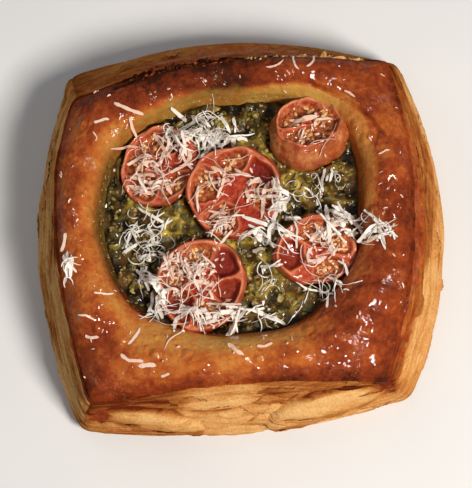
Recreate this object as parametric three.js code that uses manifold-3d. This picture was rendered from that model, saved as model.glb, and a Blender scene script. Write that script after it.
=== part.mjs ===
// Square savoury danish pastry, in millimetres, +Z up, lying flat on z = 0 with its front at -Y.
// A laminated dough shell with a square glazed skin holds a recess of pesto, in which five
// roasted cherry tomato halves sit. Shreds of grated hard cheese lie fused to what carries them.

import * as THREE from 'three';
import { mergeVertices } from 'three/addons/utils/BufferGeometryUtils.js';
import Module from 'manifold-3d';

const wasm = await Module();
wasm.setup();

// ---------------------------------------------------------------- driving dimensions

// Middle of the pastry's outline, in the plan coordinates that all the values below use.
const PLAN_MIDDLE = [0.05, 1.0];

// Outlines run front, right, back, left. Each side starts at its corner and bows outwards by
// `bow`, most at the share `peak` of the side's length.
const BELLY_OUTLINE = [
  { corner: [-44.6, -53.4], bow: 5.0, peak: 0.5 },
  { corner: [47.2, -44.8], bow: 10.0, peak: 0.5 },
  { corner: [45.6, 50.2], bow: 6.6, peak: 0.5 },
  { corner: [-49.6, 49.2], bow: 9.8, peak: 0.5 },
];
const SKIN_OUTLINE = [
  { corner: [-39.8, -48.4], bow: -2.2, peak: 0.5 },
  { corner: [40.0, -42.8], bow: 7.4, peak: 0.5 },
  { corner: [41.1, 46.6], bow: 4.6, peak: 0.55 },
  { corner: [-45.1, 36.7], bow: 6.4, peak: 0.42 },
];
const BOW_FLATNESS = 0.85;

// Side of the shell: leaves of dough from the foot (0) to the edge of the skin (LEAVES).
const LEAVES = 6;
const EDGE_HEIGHT = 30;
const BELLY_SHARE = 0.2;
const FOOT_TUCK = 0.2;
const FLARE_CURVE = 1.3;
const LEAF_BULGE = 1.9;
const LEAF_FAN = 0.055;
const LEAF_RAGGED = 0.5;
const SKIN_OVERHANG = 0.8;

// Swollen folds on the sides: place along the side and up it, half size, push outwards, and
// how far the fold climbs along its length.
const FOLDS = [
  { side: 0, along: 0.21, up: 0.54, halfAlong: 0.17, halfUp: 0.16, out: 2.4, climb: -1.0 },
  { side: 0, along: 0.76, up: 0.5, halfAlong: 0.2, halfUp: 0.18, out: 2.5, climb: 0.9 },
  { side: 1, along: 0.35, up: 0.2, halfAlong: 0.42, halfUp: 0.12, out: 0.9, climb: 0.0 },
  { side: 1, along: 0.5, up: 0.62, halfAlong: 0.35, halfUp: 0.12, out: -0.8, climb: 0.1 },
  { side: 2, along: 0.5, up: 0.5, halfAlong: 0.45, halfUp: 0.28, out: 2.6, climb: 0.0 },
  { side: 3, along: 0.45, up: 0.3, halfAlong: 0.12, halfUp: 0.16, out: 0.8, climb: 0.3 },
];

// Rim: from the edge of the skin (0) to the lip of the recess (1).
const CORNER_DROOP = 4.5;
const DROOP_REACH = 17;
const RIM_RISE = 5.6;
const RIM_PEAK = 0.45;
const RIM_ARCH = 0.6;
const RIM_SWELL = 0.8;
const LIP_HEIGHT = 29.8;

// Recess: a rounded opening, squarer towards its back right corner.
const RECESS_CENTRE = [-1.9, 2.4];
const RECESS_RADII = [36.2, 33.6];
const RECESS_ROUNDNESS = 2.2;
const RECESS_SQUARER = 1.6;
const RECESS_SQUARE_ANGLE = THREE.MathUtils.degToRad(45);
const RECESS_WAVER = 0.45;
const RECESS_FLOOR = 12;
// The wall leans in: height, and inset from the lip.
const WALL_LEAN = [[LIP_HEIGHT, 0], [28.2, 0.5], [24, 1.8], [RECESS_FLOOR, 3.4]];

// Pesto
const GAP = 0.35;
const PESTO_LEVEL = 26;
const PESTO_SIDE_TOP = 24;
const PESTO_MOUND = 1.2;
const PESTO_LUMP = 1.0;

// Tomato halves. `rise` lifts the cut above the widest girth, `lean` tips the cut face by
// degrees towards the bearing `towards`, and `chambers` is the number of seed chambers.
const TOMATOES = [
  { name: 'tomato_half_middle', at: [-0.6, 8.5, 31.0], radii: [13.1, 12.9], depth: 8.6, rise: 1.4,
    lean: 3, towards: 200, spin: 20, chambers: 5, seed: 1 },
  { name: 'tomato_half_back_right', at: [19.6, 25.3, 27.4], radii: [11.2, 10.0], depth: 9.6,
    rise: 6.0, lean: 18, towards: 84, spin: 10, chambers: 3, seed: 2 },
  { name: 'tomato_half_front_left', at: [-9.6, -17.0, 29.6], radii: [13.0, 12.2], depth: 8.4,
    rise: 1.6, lean: 4, towards: 300, spin: 65, chambers: 4, seed: 3 },
  { name: 'tomato_half_right', at: [21.4, -7.4, 28.4], radii: [11.6, 9.6], depth: 8.4, rise: 2.4,
    lean: 13, towards: 325, spin: 12, chambers: 3, seed: 4 },
  { name: 'tomato_half_back_left', at: [-21.3, 16.8, 27.6], radii: [11.9, 10.6], depth: 8.2,
    rise: 1.4, lean: 7, towards: 170, spin: 59, chambers: 4, seed: 5 },
];
// Cut face, in shares of its radius: the core, and the inside of the outer wall.
const CORE_SHARE = 0.24;
const WALL_SHARE = 0.83;
const CHAMBER_DEPTH = 1.9;
const RIM_WRINKLE = 0.45;
// Lobes round the skin: their number, and their height as a share of the radius.
const LOBES = [[3, 0.02], [7, 0.012]];

// Cheese
const SHRED_WIDTH = 1.1;
const SHRED_THICKNESS = 0.7;
const SHRED_LIFT = 0.25;
const SHRED_STEPS = 3;

// Single shreds on the rim: place, bearing in degrees, length, and curl in degrees.
const RIM_SHREDS = [
  { at: [-29.5, 31.8], bearing: -22, length: 8.6, curl: 0 },
  { at: [-36.9, 28.6], bearing: 20, length: 4.6, curl: 10 },
  { at: [11.0, 43.0], bearing: 25, length: 5.4, curl: 70 },
  { at: [16.4, 43.6], bearing: 100, length: 4.6, curl: -80 },
  { at: [21.0, 44.2], bearing: 60, length: 4.4, curl: 60 },
  { at: [31.4, 35.0], bearing: -20, length: 3.4, curl: 0 },
  { at: [40.4, 18.1], bearing: 25, length: 3.2, curl: 20 },
  { at: [-46.6, -5.8], bearing: 70, length: 5.4, curl: 20 },
  { at: [-40.0, -26.5], bearing: -5, length: 5.0, curl: 10 },
  { at: [-38.6, -31.8], bearing: -25, length: 4.0, curl: 0 },
  { at: [-27.1, -31.5], bearing: 60, length: 6.0, curl: 30 },
  { at: [-27.8, -38.0], bearing: -30, length: 8.0, curl: 20 },
  { at: [-23.6, -39.6], bearing: 8, length: 5.0, curl: 0 },
  { at: [0.2, -35.7], bearing: -42, length: 5.6, curl: 0 },
  { at: [7.9, -34.5], bearing: 5, length: 4.6, curl: 15 },
  { at: [36.4, -5.6], bearing: 20, length: 6.0, curl: 90 },
  { at: [39.4, -2.8], bearing: 80, length: 5.0, curl: -90 },
];
// Drifts of shreds on the pesto: middle, half sizes and number.
const PESTO_DRIFTS = [
  { at: [-8.7, 26.7], reach: [8, 3.5], count: 5 },
  { at: [-28.0, -5.0], reach: [3.5, 8], count: 5 },
  { at: [12.0, -6.0], reach: [3, 7], count: 3 },
  { at: [17.5, 6.0], reach: [7, 3], count: 3 },
  { at: [6.0, -26.0], reach: [8, 2], count: 3 },
];
const TOMATO_SHREDS = 4;

// Mesh density
const SIDE_COLUMNS = 23;
const RIM_ROWS = [0.1, 0.26, 0.44, 0.62, 0.78, 0.9, 1];
const PESTO_COLUMNS = 46;
const PESTO_ROWS = 8;
const TOMATO_COLUMNS = 28;
const CUT_ROWS = [1, 0.93, WALL_SHARE, 0.72, 0.55, 0.38, CORE_SHARE, 0.1];
const SKIN_ROWS = 5;

// ---------------------------------------------------------------- shared shape functions

const { lerp, clamp, degToRad } = THREE.MathUtils;
const TURN = 2 * Math.PI;

/** Repeatable random numbers from 0 to 1. */
function randomFrom(seed) {
  let state = seed;
  return () => {
    state = (state * 16807) % 2147483647;
    return state / 2147483647;
  };
}

/** Smooth unevenness from about -1 to 1, with bumps about `size` across. */
function unevenness(x, y, size, seed) {
  let sum = 0;
  for (let i = 0; i < 4; i += 1) {
    const heading = seed * 1.3 + i * 2.4;
    const stretch = 1 + 0.37 * i;
    const along = x * Math.cos(heading) + y * Math.sin(heading);
    sum += Math.sin((TURN * along * stretch) / (2 * size) + seed * (i + 1));
  }
  return sum / 2.6;
}

/** Value at x of the line through the points [x, y], given in falling order of x. */
function alongLine(points, x) {
  for (let i = 1; i < points.length; i += 1) {
    const [x0, y0] = points[i - 1];
    const [x1, y1] = points[i];
    if (x >= x1) return lerp(y0, y1, clamp((x - x0) / (x1 - x0), 0, 1));
  }
  return points[points.length - 1][1];
}

/** Point of an outline, `turn` running from 0 to 4 over the four sides. */
function outlinePoint(outline, turn) {
  const side = Math.floor(turn) % 4;
  const along = turn - Math.floor(turn);
  const { corner: [x0, y0], bow, peak } = outline[side];
  const [x1, y1] = outline[(side + 1) % 4].corner;
  const length = Math.hypot(x1 - x0, y1 - y0);
  const skewed = along ** (Math.log(0.5) / Math.log(peak));
  const push = bow * Math.abs(Math.sin(Math.PI * skewed)) ** BOW_FLATNESS;
  return new THREE.Vector2(
    lerp(x0, x1, along) + (push * (y1 - y0)) / length,
    lerp(y0, y1, along) - (push * (x1 - x0)) / length,
  );
}

function recessRadius(angle) {
  const towardsSquare = Math.max(0, Math.cos(angle - RECESS_SQUARE_ANGLE)) ** 4;
  const power = RECESS_ROUNDNESS + RECESS_SQUARER * towardsSquare;
  const [a, b] = RECESS_RADII;
  const sum = Math.abs(Math.cos(angle) / a) ** power + Math.abs(Math.sin(angle) / b) ** power;
  const waver = RECESS_WAVER * (Math.sin(5 * angle + 1) + 0.6 * Math.sin(9 * angle + 4));
  return sum ** (-1 / power) + waver;
}

function angleFromRecess(x, y) {
  return Math.atan2(y - RECESS_CENTRE[1], x - RECESS_CENTRE[0]);
}

function recessPoint(angle, inset) {
  const radius = recessRadius(angle) - inset;
  return new THREE.Vector2(
    RECESS_CENTRE[0] + radius * Math.cos(angle),
    RECESS_CENTRE[1] + radius * Math.sin(angle),
  );
}

/** How much the skin droops at a place, most at its four corners. */
function droop(x, y) {
  const nearest = Math.min(...SKIN_OUTLINE.map(({ corner }) => Math.hypot(x - corner[0], y - corner[1])));
  return CORNER_DROOP * Math.exp(-((nearest / DROOP_REACH) ** 2));
}

/** Height of the rim, `share` running from the edge of the skin (0) to the lip (1). */
function rimHeight(x, y, share) {
  const arch = Math.sin(Math.PI * share ** (Math.log(0.5) / Math.log(RIM_PEAK))) ** RIM_ARCH;
  const swell = RIM_SWELL * unevenness(x, y, 16, 3);
  return lerp(EDGE_HEIGHT - droop(x, y), LIP_HEIGHT, share) + (RIM_RISE + swell) * arch;
}

// ---------------------------------------------------------------- solids

/** Closed solid from rings of points, lowest outside first, and the middle of both ends. */
function solidFromRings(rings, firstMiddle, lastMiddle) {
  const columns = rings[0].length;
  const points = [...rings.flat(), firstMiddle, lastMiddle];
  const first = points.length - 2;
  const last = points.length - 1;
  const index = [];
  for (let column = 0; column < columns; column += 1) {
    const next = (column + 1) % columns;
    index.push(first, next, column);
    for (let ring = 0; ring < rings.length - 1; ring += 1) {
      const low = ring * columns;
      const high = low + columns;
      index.push(low + column, low + next, high + next, low + column, high + next, high + column);
    }
    const top = (rings.length - 1) * columns;
    index.push(top + column, top + next, last);
  }
  const geometry = new THREE.BufferGeometry().setFromPoints(points);
  geometry.setIndex(index);
  return geometry;
}

function toManifold(geometry) {
  const bare = geometry.clone();
  bare.deleteAttribute('normal');
  bare.deleteAttribute('uv');
  const merged = mergeVertices(bare);
  return new wasm.Manifold(new wasm.Mesh({
    numProp: 3,
    vertProperties: new Float32Array(merged.attributes.position.array),
    triVerts: new Uint32Array(merged.index.array),
  }));
}

/** Geometry of the largest body of a manifold, so that loose scraps are dropped. */
function toGeometry(manifold) {
  const bodies = manifold.decompose();
  const largest = bodies.reduce((best, body) => (body.volume() > best.volume() ? body : best));
  const { vertProperties, triVerts } = largest.getMesh();
  const geometry = new THREE.BufferGeometry();
  geometry.setAttribute('position', new THREE.BufferAttribute(vertProperties, 3));
  geometry.setIndex(new THREE.BufferAttribute(triVerts, 1));
  geometry.computeVertexNormals();
  return geometry;
}

// ---------------------------------------------------------------- dough shell

function foldPush(side, along, up) {
  let push = 0;
  for (const fold of FOLDS) {
    if (fold.side !== side) continue;
    const reachAlong = (along - fold.along) / fold.halfAlong;
    const reachUp = (up - fold.up - fold.climb * (along - fold.along)) / fold.halfUp;
    push += fold.out * Math.exp(-(reachAlong ** 4) - reachUp ** 2);
  }
  return push;
}

/** Point of the side, `leaf` running from the foot (0) to the edge of the skin (LEAVES). */
function sidePoint(turn, leaf) {
  const side = Math.floor(turn) % 4;
  const along = turn - Math.floor(turn);
  const share = leaf / LEAVES;
  const fan = LEAF_FAN * (Math.sin(TURN * along + 2 * side) + 0.6 * Math.sin(TURN * 2.3 * along + side));
  const up = share + fan * Math.sin(Math.PI * share);
  const flare = up > BELLY_SHARE
    ? 1 - ((up - BELLY_SHARE) / (1 - BELLY_SHARE)) ** FLARE_CURVE
    : 1 - FOOT_TUCK * (1 - up / BELLY_SHARE) ** 2;
  const skin = outlinePoint(SKIN_OUTLINE, turn);
  const belly = outlinePoint(BELLY_OUTLINE, turn);
  const fromCorner = Math.sin(Math.PI * along);
  const inLeaf = leaf - Math.floor(leaf);
  const ragged = 1 + LEAF_RAGGED * unevenness(40 * along, 9 * Math.round(leaf), 7, side + 5);
  const bulge = LEAF_BULGE * (Math.sin(Math.PI * inLeaf) - 0.5) * ragged * (0.5 + 0.5 * fromCorner);
  const fadeAtEnds = Math.sin(Math.PI * share) ** 0.5;
  const place = skin.clone().lerp(belly, flare);
  const push = fadeAtEnds * (bulge + foldPush(side, along, up) * fromCorner ** 0.5);
  const angle = angleFromRecess(place.x, place.y);
  const height = up * (EDGE_HEIGHT - droop(skin.x, skin.y) - SKIN_OVERHANG);
  return new THREE.Vector3(
    place.x + push * Math.cos(angle),
    place.y + push * Math.sin(angle),
    height,
  );
}

function rimPoint(turn, share) {
  const skin = outlinePoint(SKIN_OUTLINE, turn);
  const lip = recessPoint(angleFromRecess(skin.x, skin.y), 0);
  const place = skin.lerp(lip, share);
  return new THREE.Vector3(place.x, place.y, rimHeight(place.x, place.y, share));
}

function wallPoint(turn, height, inset) {
  const skin = outlinePoint(SKIN_OUTLINE, turn);
  const place = recessPoint(angleFromRecess(skin.x, skin.y), inset);
  return new THREE.Vector3(place.x, place.y, height);
}

/** The edge of the skin stands out a little over the topmost leaf. */
function skinEdgePoint(turn) {
  const skin = outlinePoint(SKIN_OUTLINE, turn);
  const angle = angleFromRecess(skin.x, skin.y);
  return new THREE.Vector3(
    skin.x + SKIN_OVERHANG * Math.cos(angle),
    skin.y + SKIN_OVERHANG * Math.sin(angle),
    EDGE_HEIGHT - droop(skin.x, skin.y),
  );
}

function doughShell() {
  const turns = Array.from({ length: 4 * SIDE_COLUMNS }, (_, i) => i / SIDE_COLUMNS);
  const rings = [];
  for (let half = 0; half <= 2 * LEAVES; half += 1) {
    rings.push(turns.map((turn) => sidePoint(turn, half / 2)));
  }
  rings.push(turns.map(skinEdgePoint));
  for (const share of RIM_ROWS) rings.push(turns.map((turn) => rimPoint(turn, share)));
  for (const [height, inset] of WALL_LEAN.slice(1)) {
    rings.push(turns.map((turn) => wallPoint(turn, height, inset)));
  }
  return solidFromRings(
    rings,
    new THREE.Vector3(RECESS_CENTRE[0], RECESS_CENTRE[1], 0),
    new THREE.Vector3(RECESS_CENTRE[0], RECESS_CENTRE[1], RECESS_FLOOR),
  );
}

// ---------------------------------------------------------------- pesto

function pestoHeight(x, y) {
  const angle = angleFromRecess(x, y);
  const reach = Math.hypot(x - RECESS_CENTRE[0], y - RECESS_CENTRE[1]) / recessRadius(angle);
  const mound = PESTO_MOUND * (1 - reach ** 3);
  const lumps = 0.6 * unevenness(x, y, 6.5, 7) + 0.4 * unevenness(x, y, 3.4, 11);
  return PESTO_LEVEL + mound + PESTO_LUMP * lumps * clamp(6 * (1 - reach), 0.2, 1);
}

function pestoBody() {
  const angles = Array.from({ length: PESTO_COLUMNS }, (_, i) => (TURN * i) / PESTO_COLUMNS);
  const bottom = RECESS_FLOOR + GAP;
  const edge = alongLine(WALL_LEAN, PESTO_LEVEL) + GAP;
  const rings = [bottom, PESTO_SIDE_TOP].map((height) => {
    const inset = alongLine(WALL_LEAN, height) + GAP;
    return angles.map((angle) => {
      const place = recessPoint(angle, inset);
      return new THREE.Vector3(place.x, place.y, height);
    });
  });
  for (let row = PESTO_ROWS; row > 0; row -= 1) {
    const share = row / PESTO_ROWS;
    rings.push(angles.map((angle) => {
      const radius = (recessRadius(angle) - edge) * share;
      const x = RECESS_CENTRE[0] + radius * Math.cos(angle);
      const y = RECESS_CENTRE[1] + radius * Math.sin(angle);
      return new THREE.Vector3(x, y, pestoHeight(x, y));
    }));
  }
  const [x, y] = RECESS_CENTRE;
  return solidFromRings(
    rings,
    new THREE.Vector3(x, y, bottom),
    new THREE.Vector3(x, y, pestoHeight(x, y)),
  );
}

/** The open space of the recess, reaching up past everything that sits in it. */
function recessSpace() {
  const angles = Array.from({ length: PESTO_COLUMNS }, (_, i) => (TURN * i) / PESTO_COLUMNS);
  const levels = [...WALL_LEAN.toReversed(), [2 * EDGE_HEIGHT, 0]];
  const rings = levels.map(([height, inset]) => angles.map((angle) => {
    const place = recessPoint(angle, inset + GAP);
    return new THREE.Vector3(place.x, place.y, height);
  }));
  const [x, y] = RECESS_CENTRE;
  return solidFromRings(
    rings,
    new THREE.Vector3(x, y, RECESS_FLOOR),
    new THREE.Vector3(x, y, 2 * EDGE_HEIGHT),
  );
}

// ---------------------------------------------------------------- tomato halves

/** Height of the cut face over its plane, at a share of its radius and an angle. */
function cutRelief(share, angle, { chambers, seed }) {
  const wave = Math.abs(Math.cos((chambers * angle) / 2 + seed + 0.5 * Math.sin(angle + seed)));
  const open = clamp((wave - 0.25) / 0.45, 0, 1);
  const across = clamp((share - CORE_SHARE) / 0.14, 0, 1) * clamp((WALL_SHARE - share) / 0.1, 0, 1);
  const wrinkle = RIM_WRINKLE * Math.sin(7 * angle + 2 * seed) * share ** 6;
  return wrinkle - CHAMBER_DEPTH * open * across;
}

/** A tomato half about the middle of its girth, its cut face up, grown all round by `grow`. */
function tomatoBody(tomato, grow) {
  const { radii, depth, rise, seed } = tomato;
  const girth = (radii[0] + radii[1]) / 2;
  const cutAngle = Math.asin(rise / girth);
  const angles = Array.from({ length: TOMATO_COLUMNS }, (_, i) => (TURN * i) / TOMATO_COLUMNS);
  const ringAt = (share, heightAt) => angles.map((angle) => {
    const uneven = LOBES.reduce((sum, [lobes, swell]) => sum + swell * Math.sin(lobes * angle + seed), 1);
    const x = (radii[0] + grow) * share * uneven * Math.cos(angle);
    const y = (radii[1] + grow) * share * uneven * Math.sin(angle);
    return new THREE.Vector3(x, y, heightAt(angle));
  });
  const rings = [];
  for (let row = 1; row <= SKIN_ROWS; row += 1) {
    const slope = lerp(Math.PI / 2, -cutAngle, row / (SKIN_ROWS + 1));
    const height = slope > 0 ? -(depth + grow) * Math.sin(slope) : -girth * Math.sin(slope);
    rings.push(ringAt(Math.cos(slope), () => height));
  }
  const cutShare = Math.cos(cutAngle);
  for (const share of CUT_ROWS) {
    rings.push(ringAt(cutShare * share, (angle) => rise + grow + cutRelief(share, angle, tomato)));
  }
  return solidFromRings(
    rings,
    new THREE.Vector3(0, 0, -depth - grow),
    new THREE.Vector3(0, 0, rise + grow),
  );
}

function tomatoPlacement({ at, lean, towards, spin }) {
  const bearing = degToRad(towards);
  const axis = new THREE.Vector3(-Math.sin(bearing), Math.cos(bearing), 0);
  const tip = new THREE.Quaternion().setFromAxisAngle(axis, degToRad(lean));
  const turn = new THREE.Quaternion().setFromAxisAngle(new THREE.Vector3(0, 0, 1), degToRad(spin));
  return new THREE.Matrix4().compose(
    new THREE.Vector3(...at),
    tip.multiply(turn),
    new THREE.Vector3(1, 1, 1),
  );
}

function placedTomato(tomato, grow) {
  return tomatoBody(tomato, grow).applyMatrix4(tomatoPlacement(tomato));
}

// ---------------------------------------------------------------- cheese shreds

/** A flat shred that follows the height of what it lies on. */
function shred({ at, bearing, length, curl }, heightAt) {
  const middles = [];
  let heading = degToRad(bearing - curl / 2);
  let [x, y] = at;
  const step = length / SHRED_STEPS;
  x -= (length / 2) * Math.cos(degToRad(bearing));
  y -= (length / 2) * Math.sin(degToRad(bearing));
  for (let i = 0; i <= SHRED_STEPS; i += 1) {
    middles.push({ x, y, heading });
    heading += degToRad(curl) / SHRED_STEPS;
    x += step * Math.cos(heading);
    y += step * Math.sin(heading);
  }
  const rings = middles.map((middle) => {
    const height = heightAt(middle.x, middle.y) + SHRED_LIFT;
    const across = [-Math.sin(middle.heading), Math.cos(middle.heading)];
    return [[-1, -1], [1, -1], [1, 1], [-1, 1]].map(([over, up]) => new THREE.Vector3(
      middle.x - (across[0] * over * SHRED_WIDTH) / 2,
      middle.y - (across[1] * over * SHRED_WIDTH) / 2,
      height + (up * SHRED_THICKNESS) / 2,
    ));
  });
  const ends = [rings[0], rings[rings.length - 1]].map((ring) => (
    ring.reduce((sum, point) => sum.add(point), new THREE.Vector3()).divideScalar(ring.length)
  ));
  return solidFromRings(rings.reverse(), ends[1], ends[0]);
}

function shareOfRim(x, y) {
  const angle = angleFromRecess(x, y);
  const inner = recessRadius(angle);
  const radius = Math.hypot(x - RECESS_CENTRE[0], y - RECESS_CENTRE[1]);
  return 1 - (radius - inner) / (skinRadius(angle) - inner);
}

/** Distance from the middle of the recess to the edge of the skin, in the direction `angle`. */
function skinRadius(angle) {
  let best = { gap: Infinity, radius: 0 };
  for (let i = 0; i < 400; i += 1) {
    const point = outlinePoint(SKIN_OUTLINE, i / 100);
    const turnAway = angleFromRecess(point.x, point.y) - angle;
    const gap = Math.abs(Math.atan2(Math.sin(turnAway), Math.cos(turnAway)));
    const radius = Math.hypot(point.x - RECESS_CENTRE[0], point.y - RECESS_CENTRE[1]);
    if (gap < best.gap) best = { gap, radius };
  }
  return best.radius;
}

function rimShreds() {
  const heightAt = (x, y) => rimHeight(x, y, clamp(shareOfRim(x, y), 0, 1));
  return RIM_SHREDS.map((spec) => shred(spec, heightAt));
}

function pestoShreds() {
  const random = randomFrom(41);
  const clearOfTomatoes = (x, y) => TOMATOES.every(({ at, radii }) => (
    Math.hypot(x - at[0], y - at[1]) > Math.max(...radii) + 1
  ));
  const insideRecess = (x, y) => (
    Math.hypot(x - RECESS_CENTRE[0], y - RECESS_CENTRE[1]) < recessRadius(angleFromRecess(x, y)) - 5
  );
  const shreds = [];
  for (const { at, reach, count } of PESTO_DRIFTS) {
    for (let i = 0; i < count; i += 1) {
      const x = at[0] + reach[0] * (2 * random() - 1);
      const y = at[1] + reach[1] * (2 * random() - 1);
      const spec = { at: [x, y], bearing: 360 * random(), length: 4 + 4 * random(), curl: 120 * random() };
      if (clearOfTomatoes(x, y) && insideRecess(x, y)) shreds.push(shred(spec, pestoHeight));
    }
  }
  return shreds;
}

function tomatoShreds(tomato) {
  const random = randomFrom(100 + tomato.seed);
  const spread = 0.55 * Math.min(...tomato.radii);
  const heightAt = () => tomato.rise;
  const placement = tomatoPlacement(tomato);
  return Array.from({ length: TOMATO_SHREDS }, (_, i) => {
    const bearing = 360 * random();
    const away = degToRad((360 * i) / TOMATO_SHREDS + 50 * random());
    const at = [spread * Math.cos(away), spread * Math.sin(away)];
    const spec = { at, bearing, length: 5 + 3 * random(), curl: 80 * random() };
    return shred(spec, heightAt).applyMatrix4(placement);
  });
}

// ---------------------------------------------------------------- assembly

function fuse(body, additions) {
  return additions.reduce((whole, piece) => whole.add(toManifold(piece)), toManifold(body));
}

function cut(whole, cutters) {
  return cutters.reduce((rest, cutter) => rest.subtract(toManifold(cutter)), whole);
}

function keepInRecess(whole) {
  return whole.intersect(toManifold(recessSpace()));
}

function node(name, manifold, color, roughness) {
  const material = new THREE.MeshStandardMaterial({ color, roughness, metalness: 0 });
  const mesh = new THREE.Mesh(toGeometry(manifold), material);
  mesh.name = name;
  return mesh;
}

const group = new THREE.Group();
group.position.set(-PLAN_MIDDLE[0], -PLAN_MIDDLE[1], 0);

group.add(node('dough_shell', fuse(doughShell(), rimShreds()), 0xa85a24, 0.35));

const grownTomatoes = TOMATOES.map((tomato) => placedTomato(tomato, GAP));
const pesto = cut(fuse(pestoBody(), pestoShreds()), grownTomatoes);
group.add(node('pesto_filling', pesto, 0x5c5a1c, 0.5));

TOMATOES.forEach((tomato, i) => {
  const earlier = grownTomatoes.slice(0, i);
  const whole = keepInRecess(fuse(placedTomato(tomato, 0), tomatoShreds(tomato)));
  group.add(node(tomato.name, cut(whole, earlier), 0xb23c22, 0.35));
});

export default group;
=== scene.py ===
"""Looks of a square savoury danish pastry: laminated crust, pesto, tomato halves and cheese.

Shapes are worked out in millimetres in the plan coordinates of the CAD part, whose driving
values are repeated here, and are moved to the row frame, in metres, when a mesh is made.
Bearings are counter-clockwise from +X, and in degrees in the tables.
"""

import math
from typing import NamedTuple

import bpy
import numpy as np
from mathutils import Matrix, Vector
from mathutils.bvhtree import BVHTree


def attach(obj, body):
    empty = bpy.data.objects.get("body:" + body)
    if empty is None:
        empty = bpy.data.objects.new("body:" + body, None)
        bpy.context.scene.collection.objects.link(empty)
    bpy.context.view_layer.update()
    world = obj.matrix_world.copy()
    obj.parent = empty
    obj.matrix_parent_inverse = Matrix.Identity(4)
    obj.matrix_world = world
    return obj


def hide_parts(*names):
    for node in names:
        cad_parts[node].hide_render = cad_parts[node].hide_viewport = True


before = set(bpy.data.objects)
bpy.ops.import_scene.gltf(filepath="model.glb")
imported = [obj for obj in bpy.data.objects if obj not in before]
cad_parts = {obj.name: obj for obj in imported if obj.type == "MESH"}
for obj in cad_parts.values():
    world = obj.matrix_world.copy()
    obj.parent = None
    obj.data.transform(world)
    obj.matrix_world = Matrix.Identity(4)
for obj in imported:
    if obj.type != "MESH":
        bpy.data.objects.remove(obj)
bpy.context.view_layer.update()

# ---------------------------------------------------------------- driving values (mm)

MM = 0.001
TURN = 2 * math.pi
PLAN_MIDDLE = np.array([0.05, 1.0, 0.0])
FRONT, RIGHT, BACK, LEFT = range(4)

# Outlines: corner, outward bow and where along the side it is greatest, front side first.
BELLY_OUTLINE = [
    ((-44.6, -53.4), 5.0, 0.5), ((47.2, -44.8), 10.0, 0.5),
    ((45.6, 50.2), 6.6, 0.5), ((-49.6, 49.2), 9.8, 0.5),
]
SKIN_OUTLINE = [
    ((-39.8, -48.4), -2.2, 0.5), ((40.0, -42.8), 7.4, 0.5),
    ((41.1, 46.6), 4.6, 0.55), ((-45.1, 36.7), 6.4, 0.42),
]
BOW_FLATNESS = 0.85
CORNER_SOFTNESS = 0.008

# Sides: leaves of dough from the foot to the edge of the skin.
LEAVES = 6
EDGE_HEIGHT = 30.0
BELLY_SHARE = 0.2
FOOT_TUCK = 0.2
FLARE_CURVE = 1.3
LEAF_BULGE = 1.9
LEAF_FAN = 0.055
LEAF_RAGGED = 0.5
SKIN_OVERHANG = 0.8
# Swollen folds: side, place along, place up, half length, half height, push out, climb.
FOLDS = [
    (FRONT, 0.21, 0.54, 0.17, 0.18, 2.4, -1.0),
    (FRONT, 0.76, 0.50, 0.20, 0.24, 2.5, 0.9),
    (RIGHT, 0.35, 0.2, 0.42, 0.12, 0.9, 0.0),
    (RIGHT, 0.5, 0.62, 0.35, 0.12, -0.8, 0.1),
    (BACK, 0.5, 0.5, 0.45, 0.28, 2.6, 0.0),
    (LEFT, 0.45, 0.3, 0.12, 0.16, 0.8, 0.3),
]

# Rim, from the edge of the skin to the lip of the recess.
CORNER_DROOP = 4.5
DROOP_REACH = 17.0
RIM_RISE = 5.6
RIM_PEAK = 0.45
RIM_ARCH = 0.6
RIM_SWELL = 0.8
LIP_HEIGHT = 29.8

RECESS_CENTRE = (-1.9, 2.4)
RECESS_RADII = (36.2, 33.6)
RECESS_ROUNDNESS = 2.2
RECESS_SQUARER = 1.6
RECESS_SQUARE_ANGLE = math.radians(45)
RECESS_WAVER = 0.45
RECESS_FLOOR = 12.0
# The wall leans in: height, and inset from the lip.
WALL_LEAN = [(LIP_HEIGHT, 0.0), (28.2, 0.5), (24.0, 1.8), (RECESS_FLOOR, 3.4)]

PESTO_LEVEL = 26.0
PESTO_MOUND = 1.2
PESTO_LUMP = 1.0


class Tomato(NamedTuple):
    """A tomato half. `at` is the middle of its girth, `rise` the height of the cut above it,
    `lean` the tilt of the cut face, `towards` the bearing it leans to, `peel` the share of
    pale peeled skin, and `seed` that of its unevenness. Each seed chamber has a bearing, half
    its width, its inner and outer share of the radius, and how full of gel and seeds it is."""

    name: str
    at: tuple
    radii: tuple
    depth: float
    rise: float
    lean: float
    towards: float
    spin: float
    peel: float
    seed: int
    chambers: list

    @property
    def girth(self):
        return sum(self.radii) / 2

    @property
    def cut_angle(self):
        return math.asin(self.rise / self.girth)


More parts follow.
